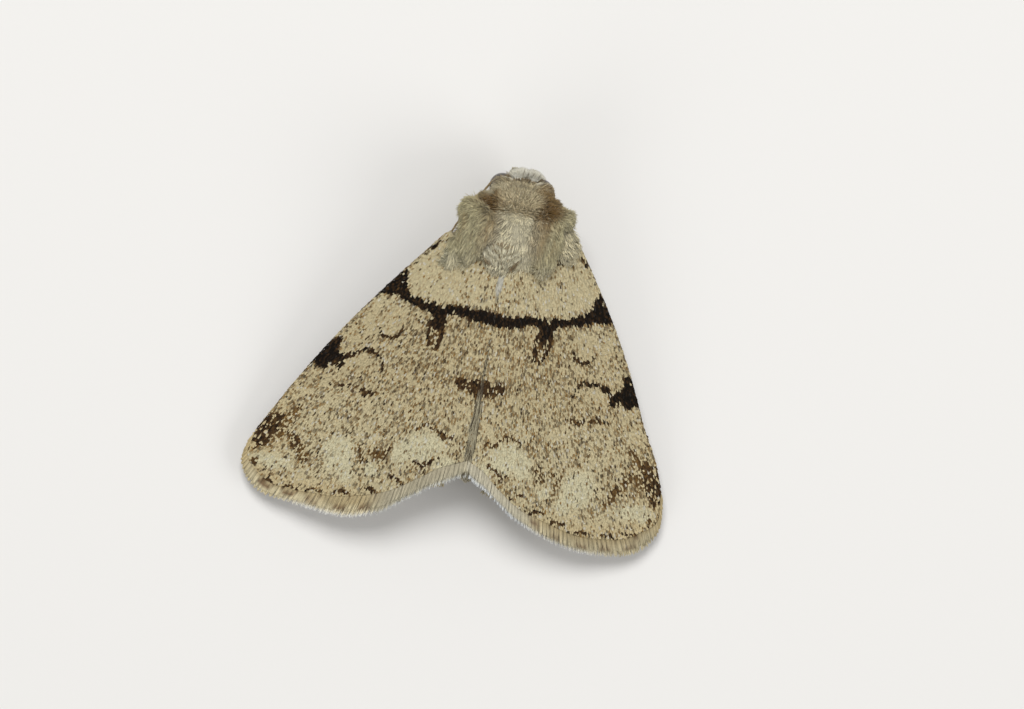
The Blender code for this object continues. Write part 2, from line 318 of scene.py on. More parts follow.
def roof(x, y):
    x = np.abs(x)
    top = wing["ridgeHeight"] - wing["ridgeDrop"] * np.maximum(y, 0.0) ** 2
    slope = wing["slope"] - wing["slopeEase"] * y
    return top - slope * (x - wing["ridgeRound"] * (1 - np.exp(-x / wing["ridgeRound"])))


def veins(x, y):  # low ridges that fan out from the wing root
    f = x / (y - wing["fanOrigin"])
    lines = sum(np.exp(-((f - at) / wing["veinWidth"]) ** 2) for at in wing["veinFans"])
    return wing["veinHeight"] * (lines - 0.25) * smoothStep(-3.5, -0.5, y)


def tipShift(x, y, side):  # the left wing's tip is carried a little forward, the right one's out and back
    far = smoothStep(6.8, 10.2, y)
    if side > 0:
        return 0 * x, -wing["tipForward"] * smoothStep(6.0, 8.4, x) * far
    outward = wing["tipOut"] * smoothStep(5.5, 10.0, x) * smoothStep(4.4, 6.8, y)
    return outward, wing["tipBack"] * smoothStep(4.4, 7.0, x) * far


def heldWing(x, y, side):  # the small differences in how the two wings are held
    ease = np.minimum(np.abs(x) / 1.6, 1.0)
    edge = np.maximum(wing["costaBase"][0] + wing["costaSlope"] * (y - wing["costaBase"][1]), 1.0)
    lean = wing["lean"] * np.maximum(wing["leanEnd"] - y, 0.0) * (x / edge) ** 2
    outward, back = tipShift(x, y, side)
    return (x + side * (ease * wing["spread"] * (y - 1.5) - lean) + outward,
            y + side * wing["trail"] * x + back)


def wingPoint(x, y, side, lift):  # plan place on a wing to its place in space
    wx, wy = heldWing(x, y, side)
    return np.stack([side * wx, wy, roof(wx, wy) - wing["coatDepth"] + veins(x, y) + lift], -1)


def wingPlan(s, t):  # s from the inner margin to the costa, t from the root to the outer edge
    ox, oy = lineAt(termenLine, s)
    bow = wing["rootBow"] * np.sin(np.pi * s)
    bx = wing["root"][0] + (wing["costaBase"][0] - wing["root"][0]) * s + 0.67 * bow
    by = wing["root"][1] + (wing["costaBase"][1] - wing["root"][1]) * s + 0.70 * bow
    bulge = wing["costaBulge"] * np.sin(np.pi * np.clip(t, 0, 1)) * s ** 4
    return bx + (ox - bx) * t + bulge, by + (oy - by) * t - 0.5 * bulge, np.hypot(ox - bx, oy - by)


def fringeReach(s, side):  # the fringe is long on the outer edge and shortens round the tip to the costa
    reach = wing["fringe"] * (1 - 0.66 * smoothStep(0.79, 0.93, s))
    reach = reach * (0.80 + 0.20 * smoothStep(0.0, 0.12, s))
    if side > 0:                       # and the left one is narrower beside the tip
        reach = reach * (1 - 0.30 * smoothStep(0.56, 0.68, s) * smoothStep(0.93, 0.80, s))
    return reach


def insidePlan(x, y, loop):  # which points lie inside a closed outline
    inside = np.zeros(x.shape, bool)
    for (ax, ay), (bx, by) in zip(loop, np.roll(loop, -1, axis=0)):
        crosses = (ay > y) != (by > y)
        if ay != by:
            inside ^= crosses & (x < (bx - ax) * (y - ay) / (by - ay) + ax)
    return inside


wingTints = {
    "cream": paint(181, 169, 135), "warmCream": paint(182, 164, 124), "whitish": paint(193, 188, 158),
    "tan": paint(167, 151, 115), "ochre": paint(134, 104, 58), "darkBrown": paint(62, 44, 24),
    "blackBrown": paint(15, 10, 5), "blueWhite": paint(186, 187, 182),
}
forewingMarks = {  # strength, then tone from black-brown 0 to ochre 1, then (x, y, half width) points
    "first line": (1.0, 0.0, [(-0.4, 0.06, 0.37), (0.6, 0.06, 0.36), (1.1, 0.02, 0.33),
        (1.6, -0.06, 0.30), (2.0, -0.12, 0.26), (2.45, -0.02, 0.26)]),
    "first line, halo": (0.55, 0.32, [(-0.4, 0.08, 0.58), (1.1, 0.06, 0.54), (2.0, -0.06, 0.44),
        (2.45, 0.05, 0.42), (3.2, 0.0, 0.42), (4.2, -0.10, 0.38), (4.8, -0.35, 0.42)]),
    "first line, middle": (1.0, 0.0, [(2.4, 0.02, 0.26), (2.8, 0.30, 0.27), (3.2, -0.02, 0.26)]),
    "first line, outer": (1.0, 0.0, [(3.1, -0.08, 0.26), (4.1, -0.14, 0.24), (4.7, -0.40, 0.34)]),
    "first line, shade": (0.45, 0.50, [(-0.4, 0.42, 0.34), (1.0, 0.44, 0.34), (1.8, 0.26, 0.24)]),
    "first line, outer shade": (0.44, 0.45, [(3.2, 0.25, 0.22), (4.2, 0.14, 0.20), (5.0, -0.1, 0.16)]),
    "root patch on the costa": (1.0, 0.0, [(4.7, -0.42, 0.34), (5.15, -0.72, 0.52),
        (5.6, -0.72, 0.62)]),
    "root patch point": (0.95, 0.0, [(5.0, -1.05, 0.30), (5.05, -1.55, 0.18)]),
    "club": (0.97, 0.05, [(2.74, 0.20, 0.42), (2.76, 0.60, 0.38), (2.74, 0.90, 0.26)]),
    "club, heart": (0.62, 0.30, [(2.70, 0.9, 0.36), (2.66, 1.4, 0.34), (2.66, 1.85, 0.30)]),
    "club prong, inner": (0.88, 0.12, [(2.42, 0.55, 0.16), (2.36, 1.20, 0.14), (2.44, 1.84, 0.13),
        (2.66, 1.98, 0.10)]),
    "club prong, outer": (0.88, 0.12, [(3.10, 0.60, 0.17), (3.10, 1.10, 0.13), (2.98, 1.62, 0.12),
        (2.84, 1.90, 0.10)]),
    "round spot edge": (0.88, 0.16, [(4.30, 1.38, 0.07), (4.52, 1.72, 0.10), (4.88, 1.86, 0.12),
        (5.25, 1.84, 0.10), (5.50, 1.55, 0.06)]),
    "round spot side": (0.42, 0.45, [(4.20, 0.45, 0.08), (4.16, 0.90, 0.08), (4.25, 1.35, 0.08)]),
    "round spot far side": (0.40, 0.45, [(5.45, 1.7, 0.07), (5.75, 1.15, 0.08), (5.65, 0.5, 0.07)]),
    "kidney spot top": (0.92, 0.08, [(4.84, 3.60, 0.09), (4.90, 3.25, 0.11), (5.22, 2.90, 0.11),
        (5.70, 2.75, 0.11), (6.30, 2.92, 0.12), (6.85, 3.34, 0.20)]),
    "kidney spot side": (0.40, 0.30, [(4.84, 3.6, 0.10), (4.82, 4.2, 0.11), (4.90, 4.75, 0.11)]),
    "kidney spot foot": (0.80, 0.22, [(4.95, 4.80, 0.15), (5.45, 4.92, 0.17), (5.85, 4.66, 0.12),
        (6.35, 4.68, 0.14), (7.00, 4.84, 0.08)]),
    "kidney spot core": (0.40, 0.40, [(5.3, 4.1, 0.26), (5.9, 4.15, 0.32), (6.4, 3.9, 0.20)]),
    "middle patch on the costa": (1.0, 0.0, [(7.40, 2.50, 0.22), (7.75, 3.10, 0.48),
        (7.95, 3.58, 0.52)]),
    "middle patch, inner": (0.96, 0.04, [(7.45, 3.30, 0.45), (7.12, 3.58, 0.36), (6.98, 3.62, 0.26)]),
    "middle shade": (0.86, 0.16, [(-0.4, 3.62, 0.52), (0.40, 3.60, 0.50), (0.95, 3.54, 0.36)]),
    "middle shade, soft": (0.58, 0.40, [(-0.4, 3.58, 0.74), (0.9, 3.54, 0.66), (1.5, 3.36, 0.44),
        (2.1, 3.22, 0.28)]),
    "middle shade, faint": (0.36, 0.85, [(1.6, 3.3, 0.50), (2.9, 3.10, 0.60), (4.2, 3.0, 0.40)]),
    "second line": (0.66, 0.22, [(0.85, 6.35, 0.10), (1.3, 6.40, 0.12), (1.6, 6.10, 0.12),
        (2.1, 5.92, 0.13), (2.6, 6.2, 0.09)]),
    "second line, faint": (0.34, 0.40, [(3.3, 5.9, 0.12), (3.6, 5.6, 0.13), (4.0, 6.3, 0.16),
        (5.0, 6.1, 0.15), (7.0, 5.5, 0.16), (8.4, 5.9, 0.14)]),
    "wedge": (0.66, 0.26, [(3.80, 7.35, 0.20), (4.05, 8.05, 0.26), (4.35, 7.85, 0.20),
        (4.70, 7.75, 0.16)]),
    "wedge, side": (0.66, 0.26, [(5.25, 7.55, 0.12), (5.00, 8.1, 0.16), (4.90, 8.75, 0.12)]),
    "wedge, heart": (0.42, 0.50, [(4.30, 7.75, 0.40), (4.75, 8.05, 0.40)]),
    "inner dashes": (0.72, 0.15, [(1.25, 7.45, 0.10), (1.7, 7.80, 0.11), (2.1, 8.10, 0.10)]),
    "inner dash, low": (0.55, 0.30, [(2.4, 8.45, 0.10), (3.0, 8.72, 0.10)]),
    "tip streak": (0.80, 0.20, [(9.30, 6.85, 0.30), (9.62, 7.60, 0.44), (9.95, 8.20, 0.36),
        (10.2, 8.65, 0.16)]),
    "tip streak, costa": (0.74, 0.14, [(9.75, 6.9, 0.20), (10.25, 7.9, 0.24), (10.4, 8.45, 0.14)]),
    "tip streak, soft": (0.60, 0.42, [(8.45, 6.20, 0.28), (8.95, 7.15, 0.52), (9.25, 7.95, 0.50)]),
    "tip tongue": (0.66, 0.34, [(8.60, 7.65, 0.34), (8.15, 8.20, 0.42), (7.75, 8.75, 0.34)]),
    "tip tongue, faint": (0.40, 0.45, [(8.60, 7.2, 0.4), (8.0, 8.0, 0.55), (7.5, 8.9, 0.35)]),
    "tip dot": (0.75, 0.25, [(10.05, 9.25, 0.12), (10.15, 9.60, 0.12)]),
    "root dot": (0.85, 0.10, [(2.60, -3.22, 0.13), (2.74, -3.12, 0.12)]),
    "root mark on the costa": (0.85, 0.08, [(3.62, -3.30, 0.12), (4.0, -3.05, 0.16)]),
    "dash by the club": (0.45, 0.30, [(3.35, 0.35, 0.14), (4.0, 0.2, 0.12)]),
}
edgeCrescents = [(9.35, 10.17), (8.12, 10.30), (6.92, 10.26), (5.52, 10.06), (4.29, 9.68), (3.05, 8.96),
                 (2.05, 8.12)]
palePatches = [  # place and half sizes
    (2.1, 7.05, 0.95, 0.85), (6.15, 8.2, 0.85, 0.90), (5.6, 9.1, 0.45, 0.5), (4.4, 8.75, 0.40, 0.30),
    (5.0, 0.95, 0.55, 0.72), (6.05, 3.35, 0.60, 0.30), (9.3, 9.15, 0.95, 0.40), (4.3, -1.6, 1.0, 1.0),
    (2.6, -1.1, 0.9, 0.7), (5.9, 1.2, 0.45, 0.8), (0.9, 8.0, 0.5, 0.6), (3.1, 7.5, 0.45, 0.7),
]


pepperShare = {"root": 0.15, "middle": 0.27, "outer": 0.15, "costa": 0.08, "most": 0.56}


def pepper(x, y):  # how many scales are dark away from the marks; they come in small clusters
    middle = pepperShare["middle"] * smoothStep(0.1, 0.5, y) * (1 - smoothStep(2.9, 4.2, y))
    rate = pepperShare["root"] + middle * (1 - 0.45 * smoothStep(4.0, 5.5, x))
    rate = rate + pepperShare["outer"] * smoothStep(3.6, 4.6, y) * (1 - smoothStep(9.0, 10.0, y))
    rate = rate + pepperShare["costa"] * smoothStep(7.6, 9.5, x)
    p = np.stack([x, y], -1)
    cluster = smoothStep(0.40, 0.75, cloud(p, 0.12, 4))
    rate = rate * (0.45 + 1.35 * cluster) * (0.60 + 0.8 * cloud(p, 0.6, 3))
    return np.minimum(rate, pepperShare["most"])


def costaGap(x, y):  # distance in from the leading edge
    (bx, by), (ex, ey) = wing["costaBase"], wing["termen"][-1]
    f = np.clip((y - by) / (ey - by), 0, 1)
    return (bx + (ex - bx) * f + 1.28 * wing["costaBulge"] * np.sin(np.pi * f) - x) * 0.87


def crescentShare(x, y):  # thin brown arcs along the root of the fringe
    share = np.zeros(x.shape)
    for cx, cy in edgeCrescents:
        sag = 0.16 * ((x - cx) / 0.4) ** 2 + 0.35 * np.minimum(cx - 4.6, 0) * (x - cx)
        arc = smoothStep(0.50, 0.36, np.abs(x - cx)) * smoothStep(0.13, 0.05, np.abs(y - cy - sag))
        share = np.maximum(share, arc)
    return share


def forewingTone(x, y, side):  # chance of a dark scale, its tone, and the pale ground colour
    p = np.stack([x, y], -1)
    if side > 0:                       # the marks near the tip don't go with the left wing's carriage
        y = y + tipShift(x, y, side)[1]
    wobble = 0.16 * (cloud(p, 0.35, 11 + side) - 0.5)
    jag = 0.22 * (cloud(p, 0.16, 15 + side) - 0.5)
    mx, my = x + wobble - 0.02 * side, y + jag + 0.05 * side * np.sin(1.3 * x)
    pale = np.zeros(x.shape)
    for cx, cy, rx, ry in palePatches:
        pale = np.maximum(pale, spot(mx, my, cx, cy, rx, ry, 0.4))
    chance = pepper(x, y) * (1 - 0.80 * pale)
    tone = 0.34 + 0.55 * cloud(p, 0.5, 21) * (0.4 + 0.6 * smoothStep(0.2, 1.0, y))
    edge = smoothStep(0.26, 0.05, costaGap(x, y)) * smoothStep(-4.0, -2.5, y)
    chance = np.maximum(chance, 0.42 * edge)
    for strength, shade, points in forewingMarks.values():
        mark = strength * stroke(mx, my, points, 0.50)
        tone = np.where(mark > chance, tone * (1 - mark) + shade * mark, tone)
        chance = np.maximum(chance, mark)
    arc = 0.9 * crescentShare(mx, y + 0.5 * jag)
    tone = np.where(arc > chance, 0.28, tone)
    chance = np.maximum(chance, arc)
    tanShare = smoothStep(0.0, 0.8, y) * (1 - smoothStep(4.0, 6.0, y)) * 0.35
    ground = blend(wingTints["cream"], wingTints["tan"], tanShare)
    ground = blend(ground, wingTints["warmCream"], smoothStep(7.8, 10.5, x) * 0.6)
    ground = blend(ground, wingTints["whitish"], 0.65 * pale * smoothStep(5.8, 6.6, y))
    ground = blend(ground, wingTints["warmCream"], 0.5 * smoothStep(9.4, 10.2, y) * smoothStep(3.5, 5.0, x))
    return np.clip(chance, 0, 1), np.clip(tone, 0, 1), ground


def darkTint(tone, middle=0.3):
    darker = blend(wingTints["blackBrown"], wingTints["darkBrown"], tone / middle)
    lighter = blend(wingTints["darkBrown"], wingTints["ochre"], (tone - middle) / (1 - middle))
    return np.where((tone < middle)[..., None], darker, lighter)


def forewingSkinTint(x, y, side):  # the membrane carries the same marks, evened out
    chance, tone, ground = forewingTone(x, y, side)
    return blend(ground * 0.75, darkTint(tone), smoothStep(0.15, 0.9, chance))


# one scale seen from above: narrow root, wide middle, two-toothed tip
scaleOutline = np.array([(0.0, 0.0), (0.36, 0.25), (0.50, 0.66), (0.34, 1.0), (0.0, 0.90),
                         (-0.34, 1.0), (-0.50, 0.66), (-0.36, 0.25)])


def laidScales(roots, along, up, length, width, lift, tilt, thick, arch):
    n, k = len(roots), len(scaleOutline)
    across = unit(np.cross(along, up))
    u, v = scaleOutline[:, 0], scaleOutline[:, 1]
    drop = arch * (4 * (v - 0.5) ** 2)                   # both ends lie lower than the middle
    sideDrop = arch * (2 * u) ** 2
    rise = lift[:, None] + tilt[:, None] * v * length[:, None] - (drop + sideDrop)[None] * width[:, None]
    ring = (roots[:, None] + across[:, None] * u[None, :, None] * width[:, None, None]
            + along[:, None] * v[None, :, None] * length[:, None, None] + up[:, None] * rise[..., None])
    mid = roots + along * 0.55 * length[:, None] + up * (lift + tilt * 0.55 * length)[:, None]
    top = mid + up * (thick * 0.5)
    low = mid - up * (thick * 0.5 + arch * width * 0.4)[:, None]
    points = np.concatenate([ring, top[:, None], low[:, None]], 1).reshape(-1, 3)
    a = np.arange(k)
    b = (a + 1) % k
    one = np.concatenate([np.stack([np.full(k, k), a, b], 1), np.stack([np.full(k, k + 1), b, a], 1)])
    local = np.vstack([scaleOutline, (0, 0.55), (0, 0.55)])
    return points, repeated(one, n, k + 2), local


def repeated(triangles, n, points):  # the same triangles for n tufts of so many points each
    return (triangles[None] + (np.arange(n) * points)[:, None, None]).reshape(-1, 3)


def shaded(colour, fade):  # each tuft's colour, lighter or darker along its length; the fades given make the root darker as painted shade
    return (colour[:, None] * fade[None, :, None]).reshape(-1, 3)


patchSize = 0.0028


def patchUv(rootUv, local):  # each tuft is a tiny patch at its root's place on the unwrap
    spread = np.stack([local[:, 0] * patchSize, (local[:, 1] - 0.5) * patchSize], -1)
    return (rootUv[:, None] + spread[None]).reshape(-1, 2)


def strands(roots, along, up, length, width, thick, bend, profile, steps):
    # tapering three-sided hairs; bend is how far the tip is carried off the straight line
    n, k = len(roots), len(profile)
    f = np.array(steps)
    across = unit(np.cross(along, up))
    rise = unit(np.cross(across, along))
    mid = (roots[:, None] + along[:, None] * (f[None, :, None] * length[:, None, None])
           + bend[:, None] * (f[None, :, None] ** 2 * length[:, None, None]))
    w = np.array(profile)[None, :, None] * width[:, None, None] * 0.5
    h = np.array(profile)[None, :, None] * thick[:, None, None]
    left = mid + across[:, None] * w
    right = mid - across[:, None] * w
    top = mid + rise[:, None] * h
    tip = roots + along * length[:, None] + bend * length[:, None]
    rings = np.stack([left, right, top], 2).reshape(n, k * 3, 3)
    points = np.concatenate([rings, tip[:, None]], 1).reshape(-1, 3)
    tris = [(0, 1, 2)]
    for j in range(k - 1):
        o = 3 * j
        for a, b in ((0, 1), (1, 2), (2, 0)):
            tris += [(o + b, o + a, o + 3 + a), (o + b, o + 3 + a, o + 3 + b)]
    o = 3 * (k - 1)
    tris += [(o + 1, o, 3 * k), (o + 2, o + 1, 3 * k), (o, o + 2, 3 * k)]
    fr = np.r_[np.repeat(f, 3), 1.0]
    local = np.stack([np.r_[np.tile([0.4, -0.4, 0.0], k), 0.0], fr], -1)
    return points, repeated(np.array(tris), n, 3 * k + 1), local, fr


forewing = {
    "rowStep": 0.116, "scaleStep": 0.076,   # spacing of the scales along and across the lie
    "length": 0.225, "width": 0.100, "thick": 0.010, "arch": 0.10,
    "tilt": 0.14, "lift": 0.006, "jitter": 0.024,
    "turnSpread": 0.10, "turnWave": 0.16,
    "brightSpread": 0.065, "darkSpread": 0.12, "ochreShare": 0.12, "ochreMix": 0.30,
    "paleShare": 0.06, "paleMix": 0.45,
    # dark specks away from the marks are smaller, stand higher and are more or less smoky
    "loneChance": 0.6, "loneLength": 0.85, "loneWidth": 0.82, "loneLift": 0.016, "loneSmoke": 0.50,
    "membrane": 0.07, "costaThick": 0.26,
    "edgeRows": 4, "edgeStep": 0.075, "edgeScales": 170,
    "firstRow": 5.2, "lastRow": 22.4, "fanAngle": 0.60,
    "grid": (110, 120), "seed": 41, "edgeSeed": 51,
}


def addGrid(name, across, along):  # a flat grid, and each point's share of the way across and along
    noSelection()
    bpy.ops.mesh.primitive_grid_add(x_subdivisions=across, y_subdivisions=along, size=2, location=(0, 0, 0))
    item = bpy.context.object
    item.name = item.data.name = name
    co = meshPoints(item.data)
    return item, (co[:, 0] + 1) / 2, (co[:, 1] + 1) / 2


def membraneShell(item, points, colour, side, **wall):  # the grid takes its shape, colour and thickness
    setPoints(item.data, points)
    setTint(item.data, colour)
    if side < 0:                      # the mirrored grid starts inside out
        editWhole(item, bpy.ops.mesh.flip_normals)
    applied(item, "thickness", "SOLIDIFY", offset=-1, **wall)
    bpy.ops.object.shade_smooth()
    toFrame(item)
    item.data.materials.append(membraneFinish)


def forewingMembrane(name, side):
    item, s, t = addGrid(name, *forewing["grid"])
    outer = wingPlan(s, t)[2]
    x, y, _ = wingPlan(s, t * (1 - fringeReach(s, side) / outer))
    x = np.maximum(x, 0.012)
    edge = item.vertex_groups.new(name="thick edge")
    for i, near in enumerate(smoothStep(0.35, 0.0, costaGap(x, y))):
        edge.add([i], float(0.15 + 0.85 * near), "REPLACE")
    membraneShell(item, wingPoint(x, y, side, 0.0), forewingSkinTint(x, y, side), side,
                  thickness=forewing["costaThick"], vertex_group=edge.name,
                  thickness_vertex_group=forewing["membrane"] / forewing["costaThick"])
    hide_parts("forewing_left" if side > 0 else "forewing_right")
    place(item)


def wingUv(x, y):
    return np.stack([(x + 0.6) / 12.0, (y + 5.0) / 17.2], -1)


def scaleRows(rng):  # staggered rows of scale roots on the fan of lines, inside the wing's outline
    px, py = [], []
    for k, r in enumerate(np.arange(forewing["firstRow"], forewing["lastRow"], forewing["rowStep"])):
        step = forewing["scaleStep"] / r
        a = np.arange(-0.01, forewing["fanAngle"], step) + (k % 2) * 0.5 * step
        px.append(r * np.sin(a))
        py.append(r * np.cos(a) + wing["fanOrigin"])
    x, y = np.concatenate(px), np.concatenate(py)
    x = x + rng.normal(0, forewing["jitter"] * 0.8, len(x))
    return x, y + rng.normal(0, forewing["jitter"], len(x))


def scaleEdge(side):  # the outline that the rows fill, a little inside the fringe
    rim = np.linspace(0, 1, 160)
    far = wingPlan(rim, np.ones(160))[2]
    outer = wingPlan(rim, 1 - (fringeReach(rim, side) + 0.12) / far)
    inner = wingPlan(np.zeros(60), np.linspace(0, 0.93, 60))
    costa = wingPlan(np.ones(80), np.linspace(0.97, 0, 80))
    base = wingPlan(np.linspace(1, 0, 60), np.zeros(60))
    return np.vstack([np.stack(part[:2], -1) for part in (inner, outer, costa, base)])


def wingFrame(x, y, dx, dy, side, lift=0.0):  # the place in space, the way ahead and the way up
    roots = wingPoint(x, y, side, lift)
    along = unit(wingPoint(x + 0.1 * dx, y + 0.1 * dy, side, lift) - roots)
    sideways = wingPoint(x + 0.1 * dy, y - 0.1 * dx, side, lift) - roots
    return roots, along, unit(np.cross(sideways, along)) * side


def forewingScales(name, side):
    rng = np.random.default_rng(forewing["seed"] + side)
    x, y = scaleRows(rng)
    keep = insidePlan(x, y, scaleEdge(side)) & (x > 0.0)
    x, y = x[keep], y[keep]
    n = len(x)
    turn = np.arctan2(x, y - wing["fanOrigin"]) + rng.normal(0, forewing["turnSpread"], n)
    turn = turn + forewing["turnWave"] * (cloud(np.stack([x, y], -1), 0.8, 31 + side) - 0.5)
    dx, dy = np.sin(turn), np.cos(turn)
    roots, along, up = wingFrame(x, y, dx, dy, side)
    length = forewing["length"] * rng.uniform(0.85, 1.15, n)
    width = forewing["width"] * rng.uniform(0.85, 1.12, n)
    cx, cy = x + dx * length * 0.62, y + dy * length * 0.62
    chance, tone, ground = forewingTone(cx, cy, side)
    dark = rng.random(n) < chance
    lone = dark & (chance < forewing["loneChance"])
    loneTone = rng.uniform(0.05, 1.0, n)
    markTone = np.clip(tone + rng.normal(0, forewing["darkSpread"], n), 0, 1)
    tone = np.where(lone, loneTone, markTone)
    bright = 1 + rng.normal(0, forewing["brightSpread"], n)
    kind = rng.random(n)
    ground = blend(ground, wingTints["ochre"], forewing["ochreMix"] * (kind < forewing["ochreShare"]))
    ground = blend(ground, wingTints["blueWhite"], forewing["paleMix"] * (kind > 1 - forewing["paleShare"]))
    smoke = np.where(lone, rng.uniform(0.0, forewing["loneSmoke"], n), 0.0)
    colour = np.where(dark[:, None], blend(darkTint(tone), ground, smoke), ground * bright[:, None])
    length = np.where(lone, length * forewing["loneLength"], length)
    width = width * np.where(lone, forewing["loneWidth"], 1.0)
    lift = forewing["lift"] + rng.uniform(0, 0.008, n) + forewing["loneLift"] * lone
    tilt = forewing["tilt"] + rng.normal(0, 0.025, n)
    points, triangles, local = laidScales(roots, along, up, length, width, lift, tilt,
                                          forewing["thick"], forewing["arch"])
    # each scale is darker toward its root, as painted shade
    shades = shaded(colour, 0.80 + 0.20 * smoothStep(0.1, 0.7, local[:, 1]))
    item = joinedMesh(name, [(points, triangles, shades, patchUv(wingUv(x, y), local))], scaleFinish)


def costaScales(name, side):  # rows of scales that close over the thick leading edge
    rng = np.random.default_rng(forewing["edgeSeed"] + side)
    rows, perRow = forewing["edgeRows"], forewing["edgeScales"]
    t = np.tile(np.linspace(0.01, 0.93, perRow), rows)
    row = np.repeat(np.arange(rows), perRow)
    n = len(t)
    t = np.clip(t + rng.normal(0, 0.0012, n) + 0.0027 * (row % 2), 0.005, 0.94)
    x, y, _ = wingPlan(np.ones(n), t)
    ahead, behind = wingPlan(np.ones(n), t + 0.01), wingPlan(np.ones(n), t - 0.01)
    depth = 0.02 + forewing["edgeStep"] * row + rng.normal(0, 0.008, n)
    roots = wingPoint(x, y, side, 0.0)
    along = unit(wingPoint(*ahead[:2], side, 0.0) - wingPoint(*behind[:2], side, 0.0))
    outward = unit(np.cross(along, upright)) * side
    outward = outward * np.sign(outward[:, :1] * side)
    roots = roots - upright * depth[:, None] + outward * 0.004
    up = unit(outward + 0.15 * upright)
    along = unit(along + outward * 0.02 + rng.normal(0, 0.06, (n, 3)))
    chance, tone, ground = forewingTone(x - 0.05, y, side)
    dark = rng.random(n) < np.maximum(chance, 0.12)
    tone = np.clip(tone + rng.normal(0, forewing["darkSpread"], n), 0, 1)
    ground = ground * (0.95 + rng.normal(0, 0.06, n))[:, None]
    colour = np.where(dark[:, None], darkTint(tone), ground)
    length = forewing["length"] * rng.uniform(0.9, 1.2, n)
    width = forewing["width"] * rng.uniform(0.85, 1.1, n)
    lift, tilt = np.full(n, 0.008), np.full(n, 0.10)
    points, triangles, local = laidScales(roots, along, up, length, width, lift, tilt,
                                          forewing["thick"], forewing["arch"])
    uv = patchUv(wingUv(x, y - 0.02 * row), local)
    item = joinedMesh(name, [(points, triangles, np.repeat(colour, len(local), axis=0), uv)], scaleFinish)


print("forewings")
for side, word in sides:
    forewingMembrane("forewing_membrane_" + word, side)
    forewingScales("forewing_scales_" + word, side)
    costaScales("forewing_edge_scales_" + word, side)


fringe = {
    "step": 0.030, "layers": 4, "width": 0.056, "thick": 0.012, "tooth": 0.235, "toothDepth": 0.20,
    "gapShade": 0.58, "rightShade": 0.83, "rightGlint": (1.12, 1.14, 1.20),
    "root": 0.24, "layerReach": (1.06, 1.04, 0.99, 0.62), "seed": 61,
    "pale": paint(204, 192, 158), "rootTint": paint(172, 156, 120), "blotch": paint(104, 76, 50),
    "arc": paint(84, 58, 34), "tips": paint(206, 192, 152), "whiteTips": paint(222, 224, 222),
    "tail": paint(168, 162, 142), "tailTips": paint(190, 194, 194), "wingTip": paint(190, 166, 116),
}


def fringeExtra(x, side):  # the left fringe is longer in its middle, the right one shorter toward the tail
    if side > 0:
        return 0.34 * smoothStep(2.0, 3.6, x) * smoothStep(6.6, 4.8, x) + 0.10 * smoothStep(3.0, 2.0, x)
    return -0.20 * smoothStep(0.6, 1.6, x) * smoothStep(5.0, 3.4, x)


def fringeTint(x, y, inward, s):  # inward is the distance from the wing's outer edge
    tipMix = smoothStep(0.42, 0.10, inward)
    colour = blend(fringe["pale"], fringe["rootTint"], smoothStep(0.66, 0.90, inward))
    blotch = np.zeros(len(x))
    for cx, _ in edgeCrescents:
        blotch = np.maximum(blotch, smoothStep(0.42, 0.20, np.abs(x - cx - 0.05)))
    blotch = blotch * smoothStep(0.80, 0.70, inward) * smoothStep(0.44, 0.56, inward)
    colour = blend(colour, fringe["blotch"], 0.85 * blotch * smoothStep(3.0, 4.2, x))
    colour = blend(colour, fringe["arc"], 0.85 * crescentShare(x, y))
    tips = blend(fringe["tips"], fringe["whiteTips"], smoothStep(9.2, 7.0, x))
    colour = blend(colour, tips, tipMix * 0.95)
    tail = blend(fringe["tail"], fringe["tailTips"], tipMix)
    colour = blend(colour, tail, 0.75 * smoothStep(4.6, 3.2, x))
    return blend(colour, fringe["wingTip"], 0.6 * smoothStep(0.82, 0.92, s))


